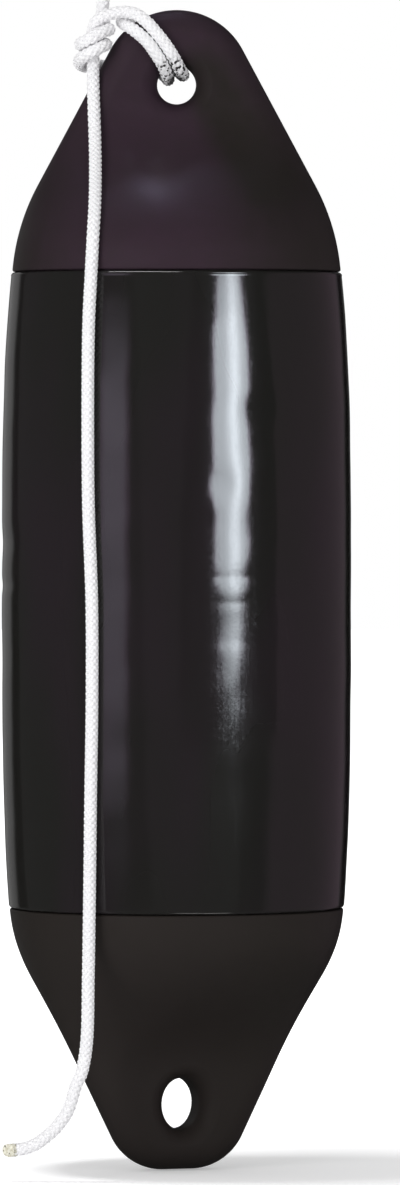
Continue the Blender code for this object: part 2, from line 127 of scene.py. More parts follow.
# Route of the free stretch: down from the knot, over the fender, then its own set to the left
FALL_ROUTE: tuple[Point, ...] = (
    (-0.0428, -0.0120, 0.0164),
    (-0.0428, -0.0120, 0.0120),
    (-0.0429, -0.0123, 0.0060),
    (-0.0427, -0.0145, -0.0040),
    (-0.0423, -0.0189, -0.0150),
    (-0.0418, -0.0262, -0.0280),
    (-0.0414, -0.0408, -0.0430),
    (-0.0414, -0.0616, -0.0610),
    (-0.0422, -0.0752, -0.0790),
    (-0.0432, -0.0780, -0.0990),
    (-0.0444, -0.0803, -0.1250),
    (-0.0448, -0.0814, -0.1650),
    (-0.0445, -0.0822, -0.2150),
    (-0.0428, -0.0831, -0.2650),
    (-0.0427, -0.0831, -0.3150),
    (-0.0434, -0.0826, -0.3650),
    (-0.0440, -0.0819, -0.4150),
    (-0.0446, -0.0815, -0.4550),
    (-0.0452, -0.0810, -0.4850),
    (-0.0475, -0.0810, -0.5020),
    (-0.0510, -0.0810, -0.5110),
    (-0.0548, -0.0810, -0.5230),
    (-0.0599, -0.0810, -0.5307),
    (-0.0646, -0.0810, -0.5354),
    (-0.0709, -0.0810, -0.5402),
    (-0.0770, -0.0810, -0.5426),
    (-0.0821, -0.0810, -0.5433),
)


def smooth_route(points: Sequence[Point], spacing: float) -> list[Vector]:
    """Space points evenly along a smooth curve through the given points.

    Args:
        points: the route's chosen points, in metres.
        spacing: the distance between two points of the result.

    Returns:
        The points, with the first and last kept.
    """
    route = [Vector(point) for point in points]
    ends = [2 * route[0] - route[1]] + route + [2 * route[-1] - route[-2]]
    fine: list[Vector] = []
    for before, start, end, after in zip(ends, ends[1:], ends[2:], ends[3:]):
        for i in range(ROUTE_FINENESS):
            t = i / ROUTE_FINENESS
            fine.append(
                0.5
                * (
                    2 * start
                    + (end - before) * t
                    + (2 * before - 5 * start + 4 * end - after) * t**2
                    + (3 * start - before - 3 * end + after) * t**3
                )
            )
    fine.append(route[-1])
    lengths = [0.0]
    for a, b in zip(fine, fine[1:]):
        lengths.append(lengths[-1] + (b - a).length)
    count = max(2, round(lengths[-1] / spacing))
    even: list[Vector] = []
    at = 0
    for i in range(count + 1):
        wanted = lengths[-1] * i / count
        while at < len(fine) - 2 and lengths[at + 1] < wanted:
            at += 1
        span = lengths[at + 1] - lengths[at]
        even.append(fine[at].lerp(fine[at + 1], (wanted - lengths[at]) / span))
    return even


def route_length(points: Sequence[Vector]) -> float:
    """Length of a run of points."""
    return sum((b - a).length for a, b in zip(points, points[1:]))


def link_object(name: str, data: bpy.types.ID) -> bpy.types.Object:
    """Put a new object with this data in the scene.

    Args:
        name: the object's name.
        data: its mesh, curve, lamp or camera.

    Returns:
        The object.
    """
    obj = bpy.data.objects.new(name, data)
    bpy.context.scene.collection.objects.link(obj)
    return obj


def mesh_of(
    name: str, points: Iterable[Sequence[float]], faces: Iterable[Sequence[int]], merge: float = 0.0
) -> bpy.types.Mesh:
    """Make a smooth-shaded mesh whose faces point outwards.

    Args:
        name: the mesh's name.
        points: its points, in metres.
        faces: its faces, as indices of the points.
        merge: points closer than this become one.

    Returns:
        The mesh.
    """
    mesh = bpy.data.meshes.new(name)
    mesh.from_pydata([tuple(point) for point in points], [], [tuple(face) for face in faces])
    tidy = bmesh.new()
    tidy.from_mesh(mesh)
    if merge:
        bmesh.ops.remove_doubles(tidy, verts=tidy.verts, dist=merge)
    bmesh.ops.recalc_face_normals(tidy, faces=tidy.faces)
    tidy.to_mesh(mesh)
    tidy.free()
    mesh.shade_smooth()
    return mesh


def skin_rings(
    name: str, rings: Sequence[Sequence[Sequence[float]]], closed: bool = False, merge: float = 0.0
) -> bpy.types.Mesh:
    """Join rings of points into a surface; a ring of one point is a pole.

    Args:
        name: the mesh's name.
        rings: rings of points, all of one count, apart from poles.
        closed: whether the last ring joins the first.
        merge: points closer than this become one.

    Returns:
        The mesh.
    """
    points: list[Sequence[float]] = []
    starts: list[int] = []
    for ring in rings:
        starts.append(len(points))
        points.extend(ring)
    faces: list[tuple[int, ...]] = []
    pairs = list(zip(range(len(rings)), range(1, len(rings))))
    if closed:
        pairs.append((len(rings) - 1, 0))
    for lower, upper in pairs:
        low, high = starts[lower], starts[upper]
        low_count, high_count = len(rings[lower]), len(rings[upper])
        count = max(low_count, high_count)
        for i in range(count):
            j = (i + 1) % count
            if high_count == 1:
                faces.append((low + i, low + j, high))
            elif low_count == 1:
                faces.append((low, high + j, high + i))
            else:
                faces.append((low + i, low + j, high + j, high + i))
    return mesh_of(name, points, faces, merge)


def around(count: int) -> list[float]:
    """Angles of equal steps round a full turn."""
    return [2 * math.pi * i / count for i in range(count)]


def lathe(name: str, profile: Sequence[tuple[float, float]], sides: int) -> bpy.types.Mesh:
    """Surface of revolution about Z from (radius, z) pairs; a radius of zero is a pole.

    Args:
        name: the mesh's name.
        profile: the pairs, in order round the section.
        sides: points in each ring.

    Returns:
        The mesh.
    """
    turns = around(sides)
    rings = [
        [(r * math.cos(turn), r * math.sin(turn), z) for turn in turns] if r > 0 else [(0.0, 0.0, z)]
        for r, z in profile
    ]
    return skin_rings(name, rings, closed=profile[0][0] > 0)


def arc(
    centre: tuple[float, float], radius: float, start: float, end: float, steps: int
) -> list[tuple[float, float]]:
    """Points of an arc in a profile, from one angle to another in degrees.

    Args:
        centre: the arc's centre.
        radius: its radius.
        start: its first angle.
        end: its last angle.
        steps: how many steps it has.

    Returns:
        Its points, with both ends.
    """
    turns = (math.radians(start + (end - start) * i / steps) for i in range(steps + 1))
    return [(centre[0] + radius * math.cos(turn), centre[1] + radius * math.sin(turn)) for turn in turns]


def cut_with(obj: bpy.types.Object, cutter: bpy.types.Object) -> None:
    """Take one shape out of another for good, and remove the cutter.

    Args:
        obj: the shape that is kept.
        cutter: the shape that is taken out.
    """
    modifier = obj.modifiers.new("cut", "BOOLEAN")
    modifier.operation = "DIFFERENCE"
    modifier.solver = "EXACT"
    modifier.object = cutter
    apply_modifiers(obj)
    bpy.data.objects.remove(cutter, do_unlink=True)


def apply_modifiers(obj: bpy.types.Object) -> None:
    """Turn an object's evaluated shape into its own plain mesh.

    Args:
        obj: the object, whose modifiers are removed.
    """
    bpy.context.view_layer.update()
    evaluated = obj.evaluated_get(bpy.context.evaluated_depsgraph_get())
    mesh = bpy.data.meshes.new_from_object(evaluated)
    mesh.name = obj.name
    obj.modifiers.clear()
    obj.data = mesh


def set_place(obj: bpy.types.Object, place: Matrix) -> None:
    """Put a piece's place into its mesh, so that the object stays at the origin."""
    obj.data.transform(place)
    obj.matrix_world = Matrix()


def dress(obj: bpy.types.Object, finish: bpy.types.Material, sharp: float) -> None:
    """Give a piece its one finish, smooth but for the edges past an angle in degrees.

    Args:
        obj: the piece.
        finish: its material.
        sharp: the angle past which an edge stays sharp.
    """
    obj.data.materials.clear()
    obj.data.materials.append(finish)
    obj.data.shade_smooth()
    obj.data.set_sharp_from_angle(angle=math.radians(sharp))


class Value:
    """A shader socket whose arithmetic adds Math nodes."""

    def __init__(self, tree: "Shader", socket: bpy.types.NodeSocket) -> None:
        """Keep the socket and the tree that it belongs to."""
        self.tree = tree
        self.socket = socket

    def _with(self, operation: str, *others: Any) -> "Value":
        """Add a Math node on this value and others."""
        return self.tree.add("ShaderNodeMath", {"operation": operation}, {0: self, **dict(enumerate(others, 1))})

    def __add__(self, other: Any) -> "Value":
        """Sum of two values."""
        return self._with("ADD", other)

    def __sub__(self, other: Any) -> "Value":
        """Difference of two values."""
        return self._with("SUBTRACT", other)

    def __mul__(self, other: Any) -> "Value":
        """Product of two values."""
        return self._with("MULTIPLY", other)

    def __rsub__(self, other: Any) -> "Value":
        """A number less this value."""
        return self.tree.add("ShaderNodeMath", {"operation": "SUBTRACT"}, {0: other, 1: self})

    __radd__ = __add__
    __rmul__ = __mul__

    def clamped(self) -> "Value":
        """This value held between 0 and 1."""
        return self.tree.add("ShaderNodeClamp", {}, {0: self})

    def absolute(self) -> "Value":
        """This value without its sign."""
        return self._with("ABSOLUTE")

    def distance(self, other: "Value") -> "Value":
        """Distance from zero of the point that this value and another one give."""
        return (self * self + other * other)._with("POWER", 0.5)


class Shader:
    """A material's node tree, built through one method."""

    def __init__(self, name: str) -> None:
        """Start a material that holds one Principled shader.

        Args:
            name: the material's name.
        """
        self.material = bpy.data.materials.new(name)
        self.material.use_nodes = True
        self.nodes = self.material.node_tree.nodes
        self.links = self.material.node_tree.links
        self.principled = self.nodes["Principled BSDF"]

    def add(self, kind: str, settings: dict[str, Any], inputs: dict[Any, Any], output: Any = 0) -> Value:
        """Add any node.

        Args:
            kind: the node's type.
            settings: its properties, set first; a ramp's stops go under "stops".
            inputs: values or links of its sockets, by name or index.
            output: the output socket that the result wraps.

        Returns:
            The wrapped output.
        """
        node = self.nodes.new(kind)
        for key, value in settings.items():
            if key == "stops":
                self._stops(node, value)
            else:
                setattr(node, key, value)
        for key, value in inputs.items():
            self.feed(node.inputs[key], value)
        return Value(self, node.outputs[output])

    def _stops(self, node: bpy.types.Node, stops: Sequence[tuple[float, Sequence[float]]]) -> None:
        """Set the stops of a colour ramp.

        Args:
            node: the ramp.
            stops: its (place, colour) pairs.
        """
        elements = node.color_ramp.elements
        while len(elements) < len(stops):
            elements.new(0.5)
        for element, (place, colour) in zip(elements, stops):
            element.position = place
            element.color = (*colour, 1.0)

    def feed(self, socket: bpy.types.NodeSocket, value: Any) -> None:
        """Link a wrapped output to a socket, or set the socket's own value.

        Args:
            socket: the input socket.
            value: a wrapped output or a plain value.
        """
        if isinstance(value, Value):
            self.links.new(value.socket, socket)
        else:
            socket.default_value = value

    def set(self, **inputs: Any) -> None:
        """Feed the Principled shader's sockets; underscores stand for spaces."""
        for key, value in inputs.items():
            self.feed(self.principled.inputs[key.replace("_", " ")], value)

    def place(self, scale: Sequence[float] = (1.0, 1.0, 1.0)) -> Value:
        """Object coordinates, stretched along each axis."""
        point = self.add("ShaderNodeTexCoord", {}, {}, "Object")
        return self.add("ShaderNodeMapping", {}, {"Vector": point, "Scale": tuple(scale)})

    def along(self, axis: str) -> Value:
        """Object coordinate along one axis."""
        point = self.add("ShaderNodeTexCoord", {}, {}, "Object")
        return self.add("ShaderNodeSeparateXYZ", {}, {0: point}, axis)

    def cells(self, scale: float) -> Value:
        """Distance to the nearest of scattered points, at a scale in points a metre."""
        return self.add("ShaderNodeTexVoronoi", {}, {"Vector": self.place(), "Scale": scale}, "Distance")

    def stored(self, name: str) -> Value:
        """A number that the piece's own mesh holds."""
        return self.add("ShaderNodeAttribute", {"attribute_name": name}, {}, "Fac")

    def ramp(self, value: Value, span: Span) -> Value:
        """Map a span smoothly to 0 to 1."""
        inputs = {"Value": value, "From Min": span[0], "From Max": span[1]}
        return self.add("ShaderNodeMapRange", {"interpolation_type": "SMOOTHSTEP"}, inputs)

    def mix(self, factor: Value, first: Sequence[float] | Value, second: Sequence[float] | Value) -> Value:
        """Mix two colours.

        Args:
            factor: 0 for the first colour and 1 for the second.
            first: a colour or a wrapped output.
            second: a colour or a wrapped output.

        Returns:
            The mixed colour.
        """
        first = first if isinstance(first, Value) else (*first, 1.0)
        second = second if isinstance(second, Value) else (*second, 1.0)
        return self.add("ShaderNodeMix", {"data_type": "RGBA"}, {0: factor, 6: first, 7: second}, 2)

    def bump(self, height: Value, distance: float) -> Value:
        """Bump from a height, with the real height of a full step in metres."""
        return self.add("ShaderNodeBump", {}, {"Height": height, "Distance": distance, "Strength": 1.0})


@dataclass(frozen=True)
class Grain:
    """Noise from 0 to 1, at a scale in waves a metre and stretched along each axis."""

    scale: float
    detail: float = 2.0
    roughness: float = 0.5
    stretch: Point = (1.0, 1.0, 1.0)

    def on(self, tree: Shader) -> Value:
        """Add the noise to a material.

        Args:
            tree: the material's tree.

        Returns:
            The noise.
        """
        inputs = {
            "Vector": tree.place(self.stretch),
            "Scale": self.scale,
            "Detail": self.detail,
            "Roughness": self.roughness,
        }
        return tree.add("ShaderNodeTexNoise", {}, inputs, "Fac")


@dataclass(frozen=True)
class GlossVinyl:
    """Blown-up glossy skin with fine lengthwise grain from its extrusion."""

    name: str = "fender_skin_gloss"
    black: Point = (0.0142, 0.0138, 0.0127)
    plum: Point = (0.0182, 0.0142, 0.0166)
    plum_span: Span = (0.40, 0.66)
    cloud: Grain = Grain(14.0, stretch=(1.0, 1.0, 0.35))
    roughness: float = 0.085
    speckle: Grain = Grain(800.0, 3.0, 0.7, (1.0, 1.0, 0.7))
    speckle_span: Span = (0.46, 0.66)
    speckle_roughness: float = 0.055
    speckle_relief: float = 0.40
    grain: Grain = Grain(700.0, 3.0, 0.6, (1.0, 1.0, 0.025))
    streak_span: Span = (0.46, 0.60)
    streak_roughness: float = 0.022
    streak_heights: Span = (-0.260, -0.190)
    grain_relief: float = 0.30
    sway: Grain = Grain(120.0, stretch=(1.0, 1.0, 0.30))
    relief: float = 0.000022

    def build(self) -> bpy.types.Material:
        """Make the material.

        Returns:
            The material.
        """
        tree = Shader(self.name)
        grain = self.grain.on(tree)
        speckle = self.speckle.on(tree)
        lower = 1 - tree.ramp(tree.along("Z"), self.streak_heights)
        speckled = tree.ramp(speckle, self.speckle_span) * self.speckle_roughness
        streaked = tree.ramp(grain, self.streak_span) * lower * self.streak_roughness
        height = grain * self.grain_relief + speckle * self.speckle_relief + self.sway.on(tree)
        tree.set(
            Base_Color=tree.mix(tree.ramp(self.cloud.on(tree), self.plum_span), self.black, self.plum),
            Roughness=(self.roughness + speckled + streaked).clamped(),
            IOR=1.5,
            Normal=tree.bump(height, self.relief),
        )
        return tree.material


@dataclass(frozen=True)
class MouldedVinyl:
    """Satin moulded vinyl of the two ends, with a plum painted sheen, a run of painted shade and a rubbed spot as (x,
    z) places.
    """

    name: str = "fender_end_satin"
    dark: Point = (0.0235, 0.0195, 0.0175)
    plum: Point = (0.0425, 0.0238, 0.0372)
    # Painted sheen: the plum is laid on thickest a little left of the middle across the end and fades towards its
    # sides.
    sheen_centre: float = -0.014
    sheen_fade: Span = (0.016, 0.092)
    sheen_share: float = 0.8
    cloud: Grain = Grain(16.0, 3.0)
    cloud_share: float = 0.55
    mottle: Grain = Grain(170.0, 4.0, 0.6)
    mottle_share: float = 0.45
    unevenness: float = 1.1
    roughness: float = 0.52
    mottle_roughness: float = 0.10
    # Painted shade: a run from beside the eye down the right of the end, where the painted sheen is taken away.
    shade_from: tuple[float, float] = (0.014, 0.004)
    shade_run: tuple[float, float] = (0.034, -0.056)
    shade_fade: Span = (0.006, 0.021)
    shade_share: float = 0.92
    rubbed: tuple[float, float] = (-0.0085, -0.0508)
    rubbed_fade: Span = (0.0, 0.021)
    rubbed_gloss: float = 0.21
    pore: Grain = Grain(2400.0, 2.0, 0.6)
    pore_relief: float = 0.35
    mottle_relief: float = 0.65
    relief: float = 0.00009

    def shaded(self, tree: Shader, across: Value, height: Value) -> Value:
        """How much painted shade each place gets, by its distance from the run of painted shade.

        Args:
            tree: the material's tree.
            across: the X coordinate.
            height: the Z coordinate.

        Returns:
            1 in the middle of the painted shade.
        """
        (start_x, start_z), (run_x, run_z) = self.shade_from, self.shade_run
        square = run_x * run_x + run_z * run_z
        share = ((across - start_x) * (run_x / square) + (height - start_z) * (run_z / square)).clamped()
        off_run = (across - start_x - share * run_x).distance(height - start_z - share * run_z)
        return 1 - tree.ramp(off_run, self.shade_fade)

    def build(self) -> bpy.types.Material:
        """Make the material.

        Returns:
            The material.
        """
        tree = Shader(self.name)
        mottle = self.mottle.on(tree)
        across, height = tree.along("X"), tree.along("Z")
        # Painted sheen: plum near the middle and dark towards the sides, varied by random clouds and mottle.
        painted_sheen = 1 - tree.ramp((across - self.sheen_centre).absolute(), self.sheen_fade)
        # Painted shade: the sheen is taken away along the run to the right of the eye.
        painted_sheen = painted_sheen * (1 - self.shaded(tree, across, height) * self.shade_share)
        clouded = self.cloud.on(tree) * self.cloud_share + mottle * self.mottle_share - 0.5
        shade = (painted_sheen * self.sheen_share + clouded * self.unevenness).clamped()
        from_spot = (across - self.rubbed[0]).distance(height - self.rubbed[1])
        rubbed = 1 - tree.ramp(from_spot, self.rubbed_fade)
        rough = self.roughness + (mottle - 0.5) * self.mottle_roughness - rubbed * self.rubbed_gloss
        relief = self.pore.on(tree) * self.pore_relief + mottle * self.mottle_relief
        tree.set(
            Base_Color=tree.mix(shade, self.dark, self.plum),
            Roughness=rough.clamped(),
            Specular_IOR_Level=0.20,
            Normal=tree.bump(relief, self.relief),
        )
        return tree.material


@dataclass(frozen=True)
class Braid:
    """White braided polyester, with painted shade between its strands, dark spots near the eye's centre and painted
    shadow inside the eye.
    """

    name: str = "line_braid_white"
    # Painted shade: the strands' crowns are near white and the hollows between them are painted grey.
    crown: Point = (0.955, 0.95, 0.965)
    groove: Point = (0.52, 0.50, 0.55)
    groove_shade_span: Span = (0.60, 1.0)
    groove_shade_share: float = 0.9
    soil: Grain = Grain(70.0, 3.0)
    soil_span: Span = (0.55, 0.8)
    soil_share: float = 0.05
    yarns: float = 6.875
    yarn_relief: float = 0.25
    fuzz: Grain = Grain(2600.0, 2.0, 0.6)
    fuzz_relief: float = 0.75
    relief: float = 0.00006
    # Dark spots in the hollows near the eye's centre, and painted shadow inside the eye.
    eye_dark: Point = (0.020, 0.018, 0.018)
    spot_scale: float = 470.0
    spot_span: Span = (0.27, 0.35)
    spot_groove: float = 0.16
    spotted_fade: Span = (0.0110, 0.0150)
    eye_shadow_fade: Span = (0.0032, 0.0062)
    eye_shadow_share: float = 0.93

    def eye_darkening(self, tree: Shader, depth: Value) -> Value:
        """How dark each place is painted: in spots in the hollows near the eye's centre, and as painted shadow all
        over inside the eye.

        Args:
            tree: the material's tree.
            depth: how deep each place lies between the strands.

        Returns:
            1 where it is darkest.
        """
        from_eye = tree.along("X").distance(tree.along("Z"))
        spots = 1 - tree.ramp(tree.cells(self.spot_scale) - depth * self.spot_groove, self.spot_span)
        near = 1 - tree.ramp(from_eye, self.spotted_fade)
        # Painted shadow all over where the strands run into the eye.
        inside = 1 - tree.ramp(from_eye, self.eye_shadow_fade)
        return (near * spots + inside * self.eye_shadow_share).clamped()

    def build(self) -> bpy.types.Material:
        """Make the material.

        Returns:
            The material.
        """
        tree = Shader(self.name)
        depth = tree.stored("groove")
        yarn = tree.add("ShaderNodeMath", {"operation": "SINE"}, {0: tree.stored("lay") * (2 * math.pi * self.yarns)})
        soil = tree.ramp(self.soil.on(tree), self.soil_span) * self.soil_share
        # Painted shade in the hollows between the strands, plus a little soil at random.
        shade = tree.ramp(depth, self.groove_shade_span) * self.groove_shade_share + soil
        strand_colour = tree.mix(shade.clamped(), self.crown, self.groove)
        tree.set(
            # Dark spots near the eye and painted shadow inside it.
            Base_Color=tree.mix(self.eye_darkening(tree, depth), strand_colour, self.eye_dark),
            Roughness=0.78,
            Sheen_Weight=0.15,
            Sheen_Roughness=0.5,
            Normal=tree.bump(yarn * self.yarn_relief + self.fuzz.on(tree) * self.fuzz_relief, self.relief),
        )
        return tree.material


@dataclass(frozen=True)
class MeltedTip:
    """Cream melted polyester with a few dark pits."""

    name: str = "line_tip_melted"
    cream: Point = (0.90, 0.88, 0.76)
    stain: Point = (0.62, 0.58, 0.42)
    stain_span: Span = (0.42, 0.68)
    mottle: Grain = Grain(900.0, 3.0, 0.6)
    pit: Point = (0.020, 0.018, 0.014)
    pit_scale: float = 420.0
    pit_span: Span = (0.16, 0.26)
    pit_depth: float = 0.8
    relief: float = 0.00012

    def build(self) -> bpy.types.Material:
        """Make the material.

        Returns:
            The material.
        """
        tree = Shader(self.name)
        mottle = self.mottle.on(tree)
        pits = 1 - tree.ramp(tree.cells(self.pit_scale), self.pit_span)
        base = tree.mix(tree.ramp(mottle, self.stain_span), self.cream, self.stain)
        tree.set(
            Base_Color=tree.mix(pits, base, self.pit),
            Roughness=0.42,
            Normal=tree.bump(mottle - pits * self.pit_depth, self.relief),
        )
        return tree.material


@dataclass(frozen=True)
class PlainMoulding:
    """A small moulded or cut part with fine grain."""

    name: str
    colour: Point
    tint: Point
    roughness: float
    tint_span: Span = (0.35, 0.7)
    mottle: Grain = Grain(420.0, 4.0, 0.6)
    mottle_roughness: float = 0.2
    mottle_relief: float = 0.6
    pore: Grain = Grain(4200.0)
    pore_relief: float = 0.4
    relief: float = 0.00004

    def build(self) -> bpy.types.Material:
        """Make the material.

        Returns:
            The material.
        """
        tree = Shader(self.name)
        mottle = self.mottle.on(tree)
        relief = mottle * self.mottle_relief + self.pore.on(tree) * self.pore_relief
        tree.set(
            Base_Color=tree.mix(tree.ramp(mottle, self.tint_span), self.colour, self.tint),
            Roughness=(self.roughness + (mottle - 0.5) * self.mottle_roughness).clamped(),
            Normal=tree.bump(relief, self.relief),
        )
        return tree.material


def fade(share: float) -> float:
    """Smooth fall from 1 to 0 as the share goes from 0 to 1."""
    return 1 - share**3 * (10 - 15 * share + 6 * share**2)


class Turn(Enum):
    """Which way an end points."""

    UP = 1
    DOWN = -1


@dataclass
class EndShape:
    """Sizes of one moulded end, in metres and radians."""

    name: str
    turn: Turn
    ring_radius: float
    head_radius: float
    head_flat: float
    flank_tuck: float
    eye_width: float
    eye_height: float
    eye_depth: float
    ring_z: float
    yaw: float = 0.0
    height: float = 0.1349
    shoulder_radius: float = 0.1130
    tab: float = 0.0300
    tab_start: float = 0.0940
    tab_edge: float = 0.0130
    edge: float = 0.0012

    @property
    def head_height(self) -> float:
        """Height of the head's centre above the ring."""
        return self.height - self.head_radius

    @property
    def flank_angle(self) -> float:
        """Lean of the flank, whose line passes the ring's edge at the tuck's distance.

        Returns:
            The lean, in radians.
        """
        across = self.ring_radius - self.head_flat
        offset = (self.flank_tuck - self.head_radius) / math.hypot(across, self.head_height)
        return math.atan2(across, self.head_height) + math.asin(offset)

    @property
    def flank_reach(self) -> float:
        """Distance of the flank's straight line from the ring's centre."""
        sin, cos = math.sin(self.flank_angle), math.cos(self.flank_angle)
        return self.head_radius + self.head_flat * cos + self.head_height * sin

    @property
    def place(self) -> Matrix:
        """Place of the end in the fender.

        Returns:
            The matrix that moves the end from its own frame.
        """
        tilt = 0.0 if self.turn is Turn.UP else math.pi
        turned = Matrix.Rotation(self.yaw, 4, "Z") @ Matrix.Rotation(tilt, 4, "X")
        return Matrix.Translation((0.0, 0.0, self.ring_z)) @ turned

    def shoulder_centre(self) -> tuple[float, float]:
        """Centre of the shoulder arc, tangent to the flank and through the ring's edge.

        Returns:
            Its x and its height.
        """
        sin, cos = math.sin(self.flank_angle), math.cos(self.flank_angle)
        inward = self.flank_reach - self.shoulder_radius
        across = self.ring_radius * cos - inward
        along = math.sqrt(self.shoulder_radius**2 - across**2) - self.ring_radius * sin
        return inward * cos - along * sin, inward * sin + along * cos

    def half_width(self, height: float) -> float:
        """Half the width, seen from the front, at a height above the ring.

        Args:
            height: the height.

        Returns:
            Half the width.
        """
        sin, cos = math.sin(self.flank_angle), math.cos(self.flank_angle)
        centre_x, centre_z = self.shoulder_centre()
        if height <= centre_z + self.shoulder_radius * sin:
            return centre_x + math.sqrt(self.shoulder_radius**2 - (height - centre_z) ** 2)
        if height <= self.head_height + self.head_radius * sin:
            return (self.flank_reach - height * sin) / cos
        drop = math.sqrt(max(0.0, self.head_radius**2 - (height - self.head_height) ** 2))
        return self.head_flat + drop

    def edge_distance(self, x: float, height: float) -> float:
        """Distance of a point inside the front outline from that outline.

        Args:
            x: the point's distance from the middle.
            height: its height above the ring.

        Returns:
            The distance.
        """
        x = abs(x)
        centre_x, centre_z = self.shoulder_centre()
        flank = self.flank_angle
        if math.atan2(height - self.head_height, x - self.head_flat) >= flank:
            beside = max(0.0, x - self.head_flat)
            return self.head_radius - math.hypot(beside, height - self.head_height)
        if math.atan2(height - centre_z, x - centre_x) <= flank:
            return self.shoulder_radius - math.hypot(x - centre_x, height - centre_z)
        return self.flank_reach - x * math.cos(flank) - height * math.sin(flank)

    def half_depth(self, x: float, height: float) -> float:
        """Half the thickness of the end at a point of its front outline.

        Args:
            x: the point's distance from the middle.
            height: its height above the ring.

        Returns:
            Half the thickness.
        """
        rise = min(1.0, height / self.tab_start)
        blend = fade(rise)
        tab = self.tab / 2
        depth = tab + (self.ring_radius - tab) * blend
        round_width = max(self.flank_reach - height * math.sin(self.flank_angle), self.tab_edge)
        round_width = self.tab_edge + (round_width - self.tab_edge) * fade(rise**2)
        share = min(1.0, max(0.0, self.edge_distance(x, height) / round_width))
        return depth * math.sqrt(1 - (1 - share) ** 2)


